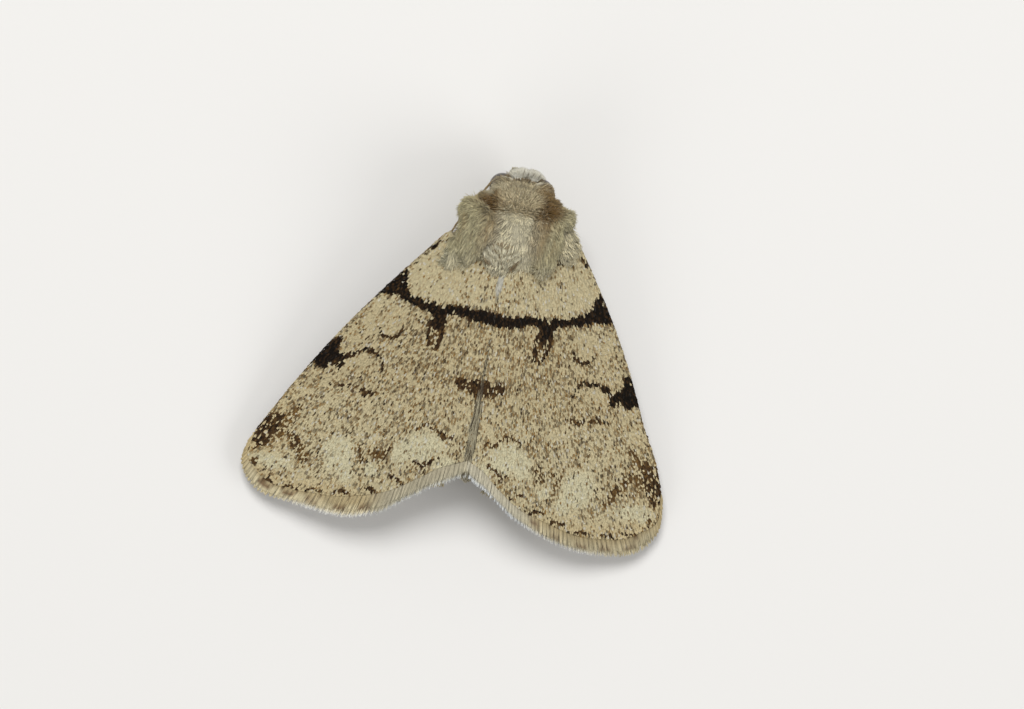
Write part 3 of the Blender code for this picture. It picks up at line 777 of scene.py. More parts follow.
def forewingFringe(name, side):
    rng = np.random.default_rng(fringe["seed"] + side)
    run = lineRun(termenLine)
    step, tooth, root = fringe["step"], fringe["tooth"], fringe["root"]
    layers = []
    for layer in range(fringe["layers"]):
        short = layer == fringe["layers"] - 1               # the last layer covers the roots of the others
        arc = np.arange(0.02, run[-1] - 0.02, step)
        arc = arc + rng.uniform(-0.4, 0.4, len(arc)) * step
        n = len(arc)
        s = np.clip(arc / run[-1], 0, 1)
        far = wingPlan(s, np.ones(n))[2]
        wide = fringeReach(s, side)
        rx, ry, _ = wingPlan(s, 1 - (wide + root - 0.03 * layer) / far)
        extra = fringeExtra(rx, side)
        reach = (wide + extra) * fringe["layerReach"][layer] + 0.19
        phase = np.mod(arc / tooth + 0.35 * cloud(arc[:, None], 0.9, 7 + side), 1) - 0.5
        tipArc = np.clip(arc - phase * tooth * 0.45, 0, run[-1])   # hairs draw together at each tooth
        tx, ty, _ = wingPlan(np.clip(tipArc / run[-1], 0, 1), np.ones(n))
        dx, dy = tx - rx, ty - ry
        size = np.hypot(dx, dy)
        dx, dy = dx / size, dy / size
        swing = rng.normal(0, 0.05, n)
        dx, dy = dx + swing * dy, dy - swing * dx
        shorten = 1 - fringe["toothDepth"] * (2 * np.abs(phase)) ** 1.5 * (not short)
        length = (reach + 0.02) * shorten * rng.uniform(0.95, 1.0, n)
        roots, along, up = wingFrame(rx, ry, dx, dy, side, 0.028 * layer - 0.02)
        bend = -up * (0.05 + 0.05 * rng.random(n))[:, None] + up * 0.03 * short
        width = fringe["width"] * rng.uniform(0.8, 1.2, n)
        thick = np.full(n, fringe["thick"])
        points, triangles, local, fr = strands(roots, along, up, length, width, thick, bend,
                                               (0.7, 1.0, 0.85), (0.0, 0.45, 0.80))
        tint = np.zeros((n, len(fr), 3))
        grain = 1 + rng.normal(0, 0.13, n)
        for j, f in enumerate(fr):
            px, py = rx + dx * length * f, ry + dy * length * f
            if side > 0:
                py = py + tipShift(px, py, side)[1]
            inward = wide + extra + root - length * f
            tint[:, j] = fringeTint(px, py, inward, s) * grain[:, None]
            # on the right wing the fringe toward the tail is made brighter and bluer as a painted glint,
            # and farther out darker as painted shade
            if side < 0:
                rightShade = np.full(3, fringe["rightShade"])
                tint[:, j] *= blend(fringe["rightGlint"], rightShade, smoothStep(2.6, 5.4, px))
        tint = tint * (1 - 0.14 * smoothStep(0.74, 0.84, s))[:, None, None]
        gap = 1 - fringe["gapShade"] * (2 * np.abs(phase)) ** 2.5 * (0.6 if short else 1.0)
        tint = tint * gap[:, None, None]
        layers.append((points, triangles, tint.reshape(-1, 3), patchUv(wingUv(rx, ry), local)))
    item = joinedMesh(name, layers, scaleFinish)


print("fringes")
for side, word in sides:
    forewingFringe("forewing_fringe_" + word, side)


body = {  # blobs that the skin is built from: place, half sizes, tilt and turn in degrees
    "voxel": 0.070, "smooth": 4, "ringStep": 1.12, "shade": 0.42, "partedShade": 0.92,
    "single": {
        "thorax": ((0, -3.95, 3.55), (2.42, 1.95, 1.62), 0, 0),
        "hump": ((0, -3.95, 4.15), (1.85, 1.80, 1.18), 0, 0),
        "breast": ((0, -3.9, 2.45), (1.75, 1.75, 0.72), 0, 0),
        "collar": ((0, -5.25, 3.65), (1.75, 0.72, 1.15), 0, 0),
        "shieldlet": ((0.34, -3.16, 4.72), (0.92, 0.80, 0.60), 0, 0),
        "neck": ((0, -5.62, 3.60), (1.30, 0.70, 1.02), 0, 0),
        "head": ((0, -6.22, 2.95), (1.16, 0.82, 0.98), 0, 0),
        "crown": ((0, -6.05, 3.62), (0.95, 0.70, 0.55), 0, 0),
        "brow": ((0, -6.66, 3.10), (0.62, 0.32, 0.62), 0, 0),
        "mouth": ((0, -6.50, 2.15), (0.42, 0.36, 0.36), 0, 0),
    },
    "sided": {   # which side, then as above, with the place given outward
        "shoulder flap, left": (1, (1.88, -4.20, 4.72), (0.86, 1.30, 0.36), 22, -4),
        "shoulder flap, right": (-1, (1.66, -4.35, 4.80), (0.80, 1.36, 0.36), 20, -2),
        "flap end, left": (1, (2.06, -3.32, 4.34), (0.78, 0.74, 0.26), 22, 4),
        "flap end, right": (-1, (1.70, -3.54, 4.50), (0.66, 0.74, 0.24), 20, 4),
        "shoulder front, right": (-1, (1.95, -5.30, 4.00), (0.78, 0.66, 0.72), 10, 0),
        "shoulder front, left": (1, (1.98, -4.98, 3.96), (0.80, 0.76, 0.74), 10, 0),
        "wing root, left": (1, (2.45, -3.0, 4.00), (0.66, 0.72, 0.32), 20, -20),
        "wing root, right": (-1, (2.72, -4.2, 3.90), (0.72, 0.95, 0.36), 20, -14),
        "neck side, right": (-1, (1.25, -5.66, 3.58), (0.80, 0.55, 0.82), 0, 0),
        "neck side, left": (1, (1.30, -5.55, 3.60), (0.80, 0.55, 0.84), 0, 0),
        "palp tuft, left": (1, (0.40, -6.98, 2.74), (0.42, 0.20, 0.44), 0, 10),
        "palp tuft, right": (-1, (0.40, -6.98, 2.74), (0.42, 0.20, 0.44), 0, 10),
    },
}
abdomenSize = {"front": -1.68, "tip": 9.0, "halfWidth": 1.85, "bend": -0.45, "coat": 0.30}
legPaths = {
    "fore": [(0.72, -4.95, 1.05), (0.98, -5.55, 1.02), (0.94, -6.00, 0.62), (0.82, -6.25, 0.24),
             (0.68, -6.55, 0.21), (0.56, -6.82, 0.21)],
    "mid": [(1.10, -4.00, 1.05), (1.95, -3.78, 1.30), (2.24, -3.20, 0.92), (2.75, -2.35, 0.25),
            (3.12, -1.50, 0.21), (3.26, -0.80, 0.21)],
    "hind": [(1.20, -2.75, 1.05), (2.55, -1.70, 1.25), (3.10, -0.45, 0.95), (3.60, 1.20, 0.25),
             (3.90, 2.60, 0.21), (4.00, 3.70, 0.21)],
}
palpPath = [(0.28, -6.45, 1.78), (0.38, -6.92, 1.62), (0.44, -7.18, 1.92), (0.46, -7.22, 2.45),
            (0.44, -7.14, 2.85)]


def abdomenAt(y):  # share of the abdomen's length at this place
    y = np.asarray(y, float)
    return np.clip((y - abdomenSize["front"]) / (abdomenSize["tip"] - abdomenSize["front"]), 0.0, 1.0)


def abdomenWidth(y):
    f = abdomenAt(y)
    rise = np.minimum(1.0, 0.80 + 0.9 * f)
    fall = 1 - 0.60 * np.maximum(0.0, (f - 0.30) / 0.70) ** 1.5
    tail = np.sqrt(np.maximum(1 - np.maximum(0.0, (f - 0.90) / 0.10) ** 2, 0.12))
    return abdomenSize["halfWidth"] * rise * fall * tail


def abdomenLean(y):
    return abdomenSize["bend"] * np.maximum(0.0, abdomenAt(y) - 0.25) ** 1.6 / 0.75 ** 1.6


def abdomenMid(y):
    return 2.45 - 0.25 * abdomenAt(y)


def addBlob(centre, size, tilt=0.0, turn=0.0, swing=True):
    at = swayed(centre) if swing else np.array(centre, float)
    bpy.ops.mesh.primitive_uv_sphere_add(segments=28, ring_count=16, radius=1, location=at.tolist(),
                                         scale=size, rotation=(0, math.radians(tilt), math.radians(turn)))
    return bpy.context.object


def addLimb(a, b, ra, rb):  # one tapering stretch of a limb, with a round joint at its far end
    a, b = Vector(a), Vector(b)
    line = b - a
    bpy.ops.mesh.primitive_cone_add(vertices=12, radius1=ra, radius2=rb, depth=line.length,
                                    location=(a + b) / 2, rotation=line.to_track_quat("Z", "Y").to_euler())
    made = [bpy.context.object]
    bpy.ops.mesh.primitive_ico_sphere_add(subdivisions=2, radius=rb * 1.02, location=b)
    return made + [bpy.context.object]


def legLine(pair, side, count):  # the middle line of a leg, let down so that the thin foot meets the floor
    path = smoothLine(legPaths[pair], count)
    path[:, 0] *= side
    if pair == "fore":                # these turn with the thorax, as the head does
        path = swayed(path)
    f = np.linspace(0, 1, count)
    radius = np.interp(f, [0, 0.22, 0.30, 0.55, 0.62, 1.0], [0.25, 0.23, 0.17, 0.15, 0.105, 0.085])
    low = smoothStep(0.60, 0.25, path[:, 2])
    path[:, 2] = path[:, 2] * (1 - low) + (radius + 0.012) * low
    return path, radius


def bodySkin():
    noSelection()
    made = []
    for centre, size, tilt, turn in body["single"].values():
        made.append(addBlob(centre, size, tilt, turn))
    for side, (x, y, z), size, tilt, turn in body["sided"].values():
        made.append(addBlob((side * x, y, z), size, side * tilt, side * turn))
    for y in np.arange(swayStart, 8.4, body["ringStep"]):     # the abdomen's rings
        w = float(abdomenWidth(y + 0.3)) - abdomenSize["coat"]
        long = min(1.25, abdomenSize["tip"] - 0.1 - y)
        centre = (float(abdomenLean(y)), y, float(abdomenMid(y)))
        made.append(addBlob(centre, (w, long, w * 0.88), swing=False))
    for side, _ in sides:
        line = smoothLine(palpPath, 7)
        for a, b, r in zip(line, line[1:], (0.17, 0.19, 0.20, 0.20, 0.19, 0.16)):
            a, b = swayed(a * (side, 1, 1)), swayed(b * (side, 1, 1))
            made += addLimb(a.tolist(), b.tolist(), r, r * 0.92)
        for pair in legPaths:
            path, radius = legLine(pair, side, 13)
            for k in range(12):
                pinch = 0.82 if k > 7 else 0.93
                made += addLimb(path[k].tolist(), path[k + 1].tolist(), radius[k], radius[k + 1] * pinch)
    item = joined(made, "body_skin")
    bpy.ops.object.transform_apply(location=True, rotation=True, scale=True)
    applied(item, "one skin", "REMESH", mode="VOXEL", voxel_size=body["voxel"])
    applied(item, "soften", "SMOOTH", factor=0.5, iterations=body["smooth"])
    bpy.ops.object.shade_smooth()
    return item


furTints = {
    "white": paint(226, 223, 210), "cream": paint(222, 212, 180), "grey": paint(193, 184, 147),
    "ochre": paint(140, 112, 64), "mid": paint(226, 217, 186),
    "paleTip": paint(212, 207, 180), "under": paint(178, 168, 140), "abdomen": paint(160, 144, 112),
    "tail": paint(206, 198, 174), "face": paint(118, 100, 70), "sand": paint(178, 160, 120),
    "umber": paint(118, 90, 46), "crest": paint(184, 172, 140),
}
collarPatches = ((1.32, -5.72, 0.48, 0.46), (-1.28, -5.82, 0.54, 0.50))  # place and half sizes


def bodyTint(q):  # q is the place on the body before the front body is carried sideways
    x, y, z = q[:, 0], q[:, 1], q[:, 2]
    ax = np.abs(x)
    c = blend(furTints["mid"], furTints["grey"], smoothStep(0.9, 1.7, ax))
    inner = spot(ax, y, 1.15, -4.7, 0.42, 1.15, 0.6)
    c = blend(c, furTints["ochre"], 0.42 * inner * smoothStep(4.2, 4.6, z))
    c = blend(c, furTints["paleTip"], 0.6 * smoothStep(-3.9, -2.8, y) * smoothStep(1.2, 2.0, ax))
    c = blend(c, furTints["cream"], 0.7 * smoothStep(2.25, 2.60, -x) * smoothStep(-5.4, -4.9, y))
    c = blend(c, furTints["under"], smoothStep(3.5, 2.4, z))
    c = blend(c, furTints["sand"], 0.6 * smoothStep(-5.3, -5.7, y) * smoothStep(2.4, 1.8, ax))
    c = blend(c, furTints["crest"], 0.8 * smoothStep(-5.2, -5.7, y) * smoothStep(0.8, 0.3, ax))
    band = smoothStep(0.20, 0.05, np.abs(y + 5.50 + 0.06 * ax)) * smoothStep(1.7, 1.2, ax)
    c = blend(c, furTints["umber"], 0.25 * (band * smoothStep(3.9, 4.2, z)))
    for cx, cy, rx, ry in collarPatches:
        c = blend(c, furTints["umber"], 0.95 * spot(x, y, cx, cy, rx, ry, 0.6) * smoothStep(3.3, 3.9, z))
    h = blend(furTints["crest"], furTints["face"], smoothStep(0.50, 0.95, ax) * 0.85)
    h = blend(h, furTints["ochre"], 0.7 * spot(x, y, -1.0, -6.2, 0.5, 0.5, 0.5))
    h = blend(h, furTints["cream"], 0.7 * spot(x, y, 1.05, -6.15, 0.5, 0.35, 0.5) * smoothStep(3.2, 3.6, z))
    h = blend(h, furTints["face"], 0.8 * smoothStep(-6.66, -6.82, y) * smoothStep(4.2, 4.0, z))
    h = blend(h, furTints["white"], smoothStep(-6.90, -6.98, y) * smoothStep(1.9, 2.3, z))
    h = blend(h, furTints["grey"], smoothStep(2.3, 1.9, z))
    c = blend(c, h, smoothStep(-5.92, -6.12, y))
    rings = 0.5 + 0.5 * np.cos((y - swayStart) / body["ringStep"] * 2 * np.pi)
    belly = blend(furTints["abdomen"], furTints["tail"], 0.5 * rings)
    belly = blend(belly, furTints["under"], smoothStep(2.6, 1.8, z))
    belly = blend(belly, furTints["tail"], smoothStep(7.0, 8.6, y))
    return blend(c, belly, smoothStep(-2.1, -1.5, y))


def faceValues(mesh, name, width):
    values = np.empty(len(mesh.polygons) * width)
    mesh.polygons.foreach_get(name, values)
    return values.reshape(-1, width)


print("body skin")
skin = bodySkin()
skinPoints = meshPoints(skin.data)
skinFaces = np.array([list(f.vertices) if len(f.vertices) == 4 else list(f.vertices) + [f.vertices[-1]]
                      for f in skin.data.polygons])
faceMid = skinPoints[skinFaces].mean(1)
faceNormal = unit(faceValues(skin.data, "normal", 3))
faceArea = faceValues(skin.data, "area", 1)[:, 0]
legNear = np.full(len(faceMid), faraway)     # how close each face is to a leg, in leg widths
for side, word in sides:
    for pair in legPaths:
        path, radius = legLine(pair, side, 25)
        for p, r in zip(path[3:], radius[3:]):
            legNear = np.minimum(legNear, np.linalg.norm(faceMid - p, axis=1) / (r + 0.12))
bare = unswayed(skinPoints)
parted = spot(bare[:, 0], bare[:, 1], 0.0, -5.5, 1.3, 0.5, 0.6) * smoothStep(3.4, 3.9, bare[:, 2])
shade = body["shade"] + (body["partedShade"] - body["shade"]) * parted      # the skin is darkened under the fur as painted shade, less where the hair parts
setTint(skin.data, bodyTint(bare) * shade[:, None])
toFrame(skin)
skin.data.materials.append(skinFinish)
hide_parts("head", "thorax", "abdomen", "tegula_left", "tegula_right", "palp_left", "palp_right",
            *["leg_" + pair + "_" + word for pair in legPaths for word in ("left", "right")])
place(skin)
print("body skin", len(skinFaces), "faces")


def seedRoots(count, weight, rng):  # random places on the skin, more of them where weight is high
    share = faceArea * weight
    pick = rng.choice(len(skinFaces), count, p=share / share.sum())
    u, v = rng.random((2, count, 1))
    a, b, c, d = (skinPoints[skinFaces[pick, k]] for k in range(4))
    return (a * (1 - u) + b * u) * (1 - v) + (d * (1 - u) + c * u) * v, faceNormal[pick]


def bodyUv(q):  # the body unrolled round its long axis, with the seam underneath
    mid = np.where(q[:, 1] > swayStart, abdomenMid(q[:, 1]), 3.3)
    turn = np.arctan2(q[:, 0] - abdomenLean(q[:, 1]), q[:, 2] - mid)
    low, high = q[:, 1].min(), q[:, 1].max()
    return np.stack([0.5 + 0.48 * turn / np.pi, 0.02 + 0.96 * (q[:, 1] - low) / (high - low)], -1)


def nearestOf(points, centres, stretch=2000):  # in stretches, so that the table of distances stays small
    nearest = np.empty(len(points), int)
    for start in range(0, len(points), stretch):
        gap = np.linalg.norm(points[start:start + stretch, None] - centres[None], axis=2)
        nearest[start:start + stretch] = gap.argmin(1)
    return nearest


hair = {"sink": 0.03, "profile": (0.75, 1.0, 0.7), "steps": (0.0, 0.40, 0.75), "tipShade": 1.06}


def growFur(name, look, roots, q, normals, flow, length, colour, side=0):
    # hairs lie along flow, rise off the skin by look["rise"], and draw together into locks
    seed = look["seeds"][1] + side
    rng = np.random.default_rng(seed)
    n = len(roots)
    flow = flow - normals * np.sum(flow * normals, 1, keepdims=True)
    flow = unit(flow + 1e-6)
    waver = np.stack([cloud(roots, look["waveSize"], seed + k) for k in range(3)], -1) - 0.5
    flow = unit(flow + look["wave"] * waver + rng.normal(0, look["spread"], (n, 3)))
    rise = look["rise"] * rng.uniform(0.6, 1.4, n)[:, None]
    along = unit(flow * np.cos(rise) + normals * np.sin(rise))
    length = length * rng.uniform(0.75, 1.12, n)
    locks = roots[rng.choice(n, max(4, n // look["perLock"]), replace=False)]
    nearest = nearestOf(roots, locks)
    pull = locks[nearest] - roots
    pull = pull * np.minimum(1, 0.5 / np.maximum(np.linalg.norm(pull, axis=1, keepdims=True), 1e-6))
    bend = look["pull"] * pull / length[:, None] - look["droop"] * normals
    width = look["width"] * rng.uniform(0.75, 1.25, n)
    points, triangles, local, fr = strands(roots - normals * hair["sink"], along, normals, length, width,
                                           width * 0.5, bend, hair["profile"], hair["steps"])
    lockTone = 1 + look["lockSpread"] * (rng.random(len(locks))[nearest] - 0.5)
    tone = (1 + rng.normal(0, look["mottle"], n)) * lockTone
    shades = shaded(colour * tone[:, None], look["rootShade"] + (hair["tipShade"] - look["rootShade"]) * fr)
    layer = (points, triangles, shades, patchUv(bodyUv(q), local))
    item = joinedMesh(name, [layer], furFinish, smooth=True)


eyeLook = {
    "radius": 0.64, "rim": 0.02, "place": (0.98, -6.46, 2.80), "outward": (0.86, -0.50, -0.05),
    "facet": 30000, "dome": 0.5, "dark": paint(30, 22, 14), "light": paint(84, 64, 40),
}
furLooks = {  # seeds: one for the roots and one for the hairs
    "face": {"count": 4200, "width": 0.036, "rise": 0.40, "droop": 0.10, "wave": 0.4, "waveSize": 0.35,
             "spread": 0.10, "perLock": 12, "pull": 0.40, "mottle": 0.13, "lockSpread": 0.2,
             "rootShade": 0.58, "seeds": (5, 101)},
    "brow": {"count": 3900, "width": 0.042, "rise": 0.16, "droop": 0.16, "wave": 0.45, "waveSize": 0.3,
             "spread": 0.16, "perLock": 14, "pull": 0.45, "mottle": 0.20, "lockSpread": 0.4,
             "rootShade": 0.50, "seeds": (15, 121)},
    "crest": {"count": 5000, "width": 0.040, "rise": 0.10, "droop": 0.02, "wave": 0.30, "waveSize": 0.3,
              "spread": 0.15, "perLock": 12, "pull": 0.60, "mottle": 0.20, "lockSpread": 0.50,
              "rootShade": 0.56, "seeds": (6, 111)},
    "frons": {"count": 3400, "width": 0.040, "rise": 0.10, "droop": 0.10, "wave": 0.20, "waveSize": 0.3,
              "spread": 0.11, "perLock": 24, "pull": 0.12, "mottle": 0.05, "lockSpread": 0.08,
              "rootShade": 0.66, "seeds": (12, 141)},
    "palp": {"count": 2600, "width": 0.034, "rise": 0.34, "droop": 0.04, "wave": 0.25, "waveSize": 0.3,
             "spread": 0.10, "perLock": 12, "pull": 0.25, "mottle": 0.06, "lockSpread": 0.08,
             "rootShade": 0.72, "seeds": (9, 131)},
    "thorax": {"count": 11900, "width": 0.044, "rise": 0.34, "droop": 0.16, "wave": 0.75, "waveSize": 0.40,
               "spread": 0.18, "perLock": 14, "pull": 0.55, "mottle": 0.18, "lockSpread": 0.32,
               "rootShade": 0.50, "seeds": (7, 102)},
    "flap": {"count": 6800, "width": 0.042, "rise": 0.22, "droop": 0.22, "wave": 0.42, "waveSize": 0.5,
             "spread": 0.12, "perLock": 16, "pull": 0.60, "mottle": 0.17, "lockSpread": 0.32,
             "rootShade": 0.52, "seeds": (8, 103)},
    "abdomen": {"count": 6800, "width": 0.060, "rise": 0.30, "droop": 0.20, "wave": 0.3, "waveSize": 0.6,
                "spread": 0.10, "perLock": 16, "pull": 0.35, "mottle": 0.12, "lockSpread": 0.2,
                "rootShade": 0.55, "seeds": (5, 107)},
}


def flapShare(q):  # how much a place belongs to a shoulder flap; the right flap starts farther forward
    out, y, z = np.abs(q[:, 0]), q[:, 1], q[:, 2]
    left = q[:, 0] > 0
    inner = 0.98 + 0.12 * (y + 5.4)
    outer = np.where(left, 2.85, 2.40)
    front = np.where(left, -5.45, -5.55)
    share = smoothStep(inner, inner + 0.35, out) * smoothStep(outer, outer - 0.25, out)
    share = share * smoothStep(4.0, 4.3, z) * smoothStep(-2.60, -2.85, y)
    return share * smoothStep(front, front + 0.3, y)


def mixedLie(y, rng):  # strays in every direction close the parting between the hair of head and thorax
    near = np.exp(-((y + 5.40) / 0.24) ** 2)[:, None]
    return near * rng.normal(0, 1, (len(y), 3)) * (0.75, 0.75, 0.25)


def swayedFlow(x, y, z):  # a direction on the turned front body
    return np.stack([x + bodySway * y, y, z], -1)


def standing(flow, normals):  # for hair that keeps its own direction instead of following the skin
    flow = unit(flow)
    return unit(np.cross(unit(np.cross(flow, normals)), flow))


print("body fur")
middle = unswayed(faceMid)
midOut, midY, midZ = np.abs(middle[:, 0]), middle[:, 1], middle[:, 2]
onBody = legNear > 1.0
isHead = midY < -5.85
isFront = (midY < -1.75) & ~isHead
flap = flapShare(middle)
palpShare = smoothStep(-6.90, -6.98, midY) * smoothStep(1.7, 2.0, midZ)
crownShare = smoothStep(3.40, 3.60, midZ) * smoothStep(-5.35, -5.60, midY) * (1 - palpShare)
crownShare = crownShare * smoothStep(1.15, 0.95, midOut)
browShare = smoothStep(2.95, 3.15, midZ) * smoothStep(0.45, 0.70, midOut) * (midY < -5.70) * (1 - palpShare)


def headRoots(part, weight, offEye=True):
    look = furLooks[part]
    roots, normals = seedRoots(look["count"], weight, np.random.default_rng(look["seeds"][0]))
    q = unswayed(roots)
    if offEye:
        folded = np.stack([np.abs(q[:, 0]), q[:, 1], q[:, 2]], -1)
        gap = np.linalg.norm(folded - np.array(eyeLook["place"]), axis=1)
        clear = gap > eyeLook["radius"] + eyeLook["rim"]
        roots, normals, q = roots[clear], normals[clear], q[clear]
    return roots, normals, q


def faceFur():  # short hair on the cheeks, chin and back of the head
    weight = onBody * isHead * (1 - crownShare) * (1 - browShare) * (1 - palpShare)
    roots, normals, q = headRoots("face", weight)
    x = q[:, 0]
    flow = swayedFlow(0.5 * x, 0.8 + 0 * x, -0.45 + 0 * x)
    growFur("head_fur_face", furLooks["face"], roots, q, normals, flow, 0.26 + 0 * x, bodyTint(q))


def browFur():  # long brown hair from the sides of the crown, out over the eyes
    roots, normals, q = headRoots("brow", onBody * browShare)
    x, y = q[:, 0], q[:, 1]
    flow = swayedFlow(np.sign(x), -0.30 + 0.75 * (y + 6.3), 0.10 + 0 * x)
    length = 0.84 - 0.22 * smoothStep(-6.3, -5.8, y) - 0.30 * smoothStep(0.8, 1.3, np.abs(x))
    length = length - 0.30 * smoothStep(-6.50, -6.80, y)
    growFur("head_fur_brow", furLooks["brow"], roots, q, standing(flow, normals), flow, length, bodyTint(q))


def crownFur():  # hair that fans out forward from the back of the crown, upright where the thorax's begins
    roots, normals, q = headRoots("crest", onBody * crownShare * (1 + 1.2 * (midY > -6.1)))
    x, y = q[:, 0], q[:, 1]
    parting = smoothStep(-6.05, -5.45, y)
    flow = swayedFlow((1.25 - 0.85 * parting) * x, -0.95 + 0.80 * parting, 0.45 + 0.15 * parting)
    rng = np.random.default_rng(16)
    brown = 0.60 * (rng.random(len(x)) < 0.26) * (1 - 0.7 * parting)
    flow = flow + mixedLie(y, rng)
    # painted light: the hair is paler at the parting, where it stands up and its shaded roots face the view
    tint = blend(bodyTint(q), furTints["face"], brown) * (1 + 0.20 * parting)[:, None]
    length = 0.66 - 0.16 * parting - 0.36 * smoothStep(-6.25, -6.70, y)
    growFur("head_fur_crown", furLooks["crest"], roots, q, standing(flow, normals), flow, length, tint)


def fronsFur():  # a dense white fan on the front of the face
    look = furLooks["frons"]
    rng = np.random.default_rng(look["seeds"][0])
    n = look["count"]
    x = rng.uniform(-1.0, 0.74, n)
    z = 2.05 + (1.08 - 0.55 * (x + 0.13) ** 2) * rng.random(n) ** 0.85
    low = smoothStep(2.80, 2.10, z)
    x = x * (1 - 0.25 * low)
    y = -6.96 + 0.22 * x ** 2 + 0.10 * low
    q = np.stack([x, y, z], -1)
    flow = swayedFlow(0.50 * x * (1 + low), -1.0 + 0 * x, 1.5 * (z - 2.78))
    length = 0.62 - 0.08 * smoothStep(0.12, 0.02, np.abs(x + 0.04)) - 0.32 * (x + 0.14) ** 2 - 0.32 * low
    grey = 0.35 * rng.random(n) + 0.5 * low + 0.3 * smoothStep(0.6, 0.95, np.abs(x + 0.13))
    tint = blend(np.tile(furTints["white"], (n, 1)), furTints["grey"], grey)
    tint = blend(tint, furTints["under"], 0.55 * low)
    tint = blend(tint, furTints["face"], 0.60 * (rng.random(n) < 0.04 + 0.16 * low))
    up = np.tile(upright, (n, 1))
    growFur("head_fur_frons", look, swayed(q), q, standing(flow, up), flow, length, tint)


def palpFur():  # bushy white hair on the last joint of the palps
    roots, normals, q = headRoots("palp", onBody * palpShare, False)
    top = smoothStep(2.6, 3.1, q[:, 2])
    flow = swayedFlow(np.sign(q[:, 0]) * (0.15 + 0.5 * top), -0.15 - 0.3 * top, 1.0 - 0.4 * top)
    growFur("palp_fur", furLooks["palp"], roots, q, normals, flow, 0.24 + 0.06 * top, bodyTint(q))


def thoraxFur():
    look = furLooks["thorax"]
    rng = np.random.default_rng(look["seeds"][0])
    rear = smoothStep(-3.3, -2.6, midY) * (midZ > 3.6)
    weight = onBody * isFront * (1 - 0.85 * flap) * (1 - crownShare) * (0.5 + (midZ > 3.4) + 0.8 * rear)
    weight = weight * (1 + (midY < -5.2) * (midZ > 3.4))
    weight = weight * (1 + 1.4 * (np.abs(midY + 5.45) < 0.25) * (midZ > 4.0))
    roots, normals = seedRoots(look["count"], weight, rng)
    q = unswayed(roots)
    x, y, z = q.T
    side = np.sign(x)
    low = smoothStep(4.1, 3.1, z)
    collar = smoothStep(-5.35, -5.75, y + rng.normal(0, 0.16, len(y))) * (1 - low)
    shoulder = smoothStep(1.3, 1.9, np.abs(x)) * smoothStep(-4.9, -5.3, y)
    flow = np.stack([0.30 * x * (1 - low) + 0.35 * side * low + 0.9 * side * shoulder,
                     1.0 - 0.35 * low - 1.15 * collar - 0.5 * shoulder,
                     -0.7 * low + collar * (0.75 - 0.45 * smoothStep(0.5, 1.1, np.abs(x)))])
    flow = flow + (mixedLie(y, rng) * (1 - low)[:, None]).T
    rear = smoothStep(-3.2, -2.5, y)
    length = 0.46 + 0.26 * low + 0.10 * collar + 0.26 * rear + 0.06 * shoulder
    # painted light: the collar hair, which stands up, is paler so that its shaded roots look less dark
    tint = bodyTint(q) * (1 + 0.12 * collar * smoothStep(1.1, 0.6, np.abs(x)))[:, None]
    growFur("thorax_fur", look, roots, q, normals, swayedFlow(*flow), length, tint)


def flapFur(word, side):
    look = furLooks["flap"]
    rng = np.random.default_rng(look["seeds"][0] + side)
    weight = onBody * isFront * flap * (np.sign(middle[:, 0]) == side)
    roots, normals = seedRoots(look["count"], weight, rng)
    q = unswayed(roots)
    x, y = q[:, 0], q[:, 1]
    back = smoothStep(-5.4, -3.4, y)
    outward = (0.55 - 0.45 * back) if side > 0 else (0.42 - 0.30 * back)
    flow = swayedFlow(side * outward, 1.0 + 0 * back, -0.25 * outward)
    rear = smoothStep(-3.6, -3.0, y)
    length = 0.62 + 0.22 * back + 0.10 * rear
    tint = blend(bodyTint(q), furTints["cream"], (0.40 if side > 0 else 0.60) * rear)
    streak = cloud(np.stack([x * 3.5, y * 0.7], -1), 0.5, 60 + side)
    tint = blend(tint, furTints["ochre"], 0.40 * smoothStep(0.55, 0.85, streak) * smoothStep(-3.2, -4.6, y))
    growFur("shoulder_fur_" + word, look, roots, q, normals, flow, length, tint, side)


def abdomenFur():
    look = furLooks["abdomen"]
    rng = np.random.default_rng(look["seeds"][0])
    weight = onBody * (midY > -1.95) * (1 + 1.5 * (midY > 7.4))
    roots, normals = seedRoots(look["count"], weight, rng)
    tip = smoothStep(7.6, 8.9, roots[:, 1])
    inward = -0.25 * (roots[:, 0] - abdomenLean(roots[:, 1])) * tip
    flow = np.stack([inward, 1 + 0 * tip, -0.05 + 0 * tip], -1)
    growFur("abdomen_fur", look, roots, roots, normals, flow, 0.55 - 0.12 * tip, bodyTint(roots))


faceFur()
browFur()
crownFur()
fronsFur()
palpFur()
thoraxFur()
for side, word in sides:
    flapFur(word, side)
abdomenFur()

legLook = {
    "hairs": 900, "width": 0.052, "samples": 60, "seed": 150,
    "claw": 0.16, "clawRadius": 0.030, "clawTip": 0.004, "clawGap": 0.045, "clawSplay": 0.45,
    "pale": paint(196, 184, 150), "foot": paint(150, 132, 96), "ring": paint(96, 80, 54),
    "speck": paint(104, 86, 58), "clawDark": paint(40, 28, 16), "clawLight": paint(92, 66, 38),
}


def pathFrames(path):
    ahead = unit(np.gradient(path, axis=0))
    sideways = unit(np.cross(ahead, np.array([0.12, 0.05, 1.0])))
    return ahead, sideways, unit(np.cross(sideways, ahead))


def legTint(f, rng):  # pale scales with darker rings on the foot
    ringed = smoothStep(0.25, 0.75, 0.5 + 0.5 * np.cos(f * 46)) * smoothStep(0.50, 0.62, f)
    c = blend(legLook["pale"], legLook["foot"], 0.5 * smoothStep(0.15, 0.35, f))
    c = blend(c, legLook["ring"], 0.85 * ringed)
    return np.where((rng.random(len(f)) < 0.22)[:, None], legLook["speck"], c)


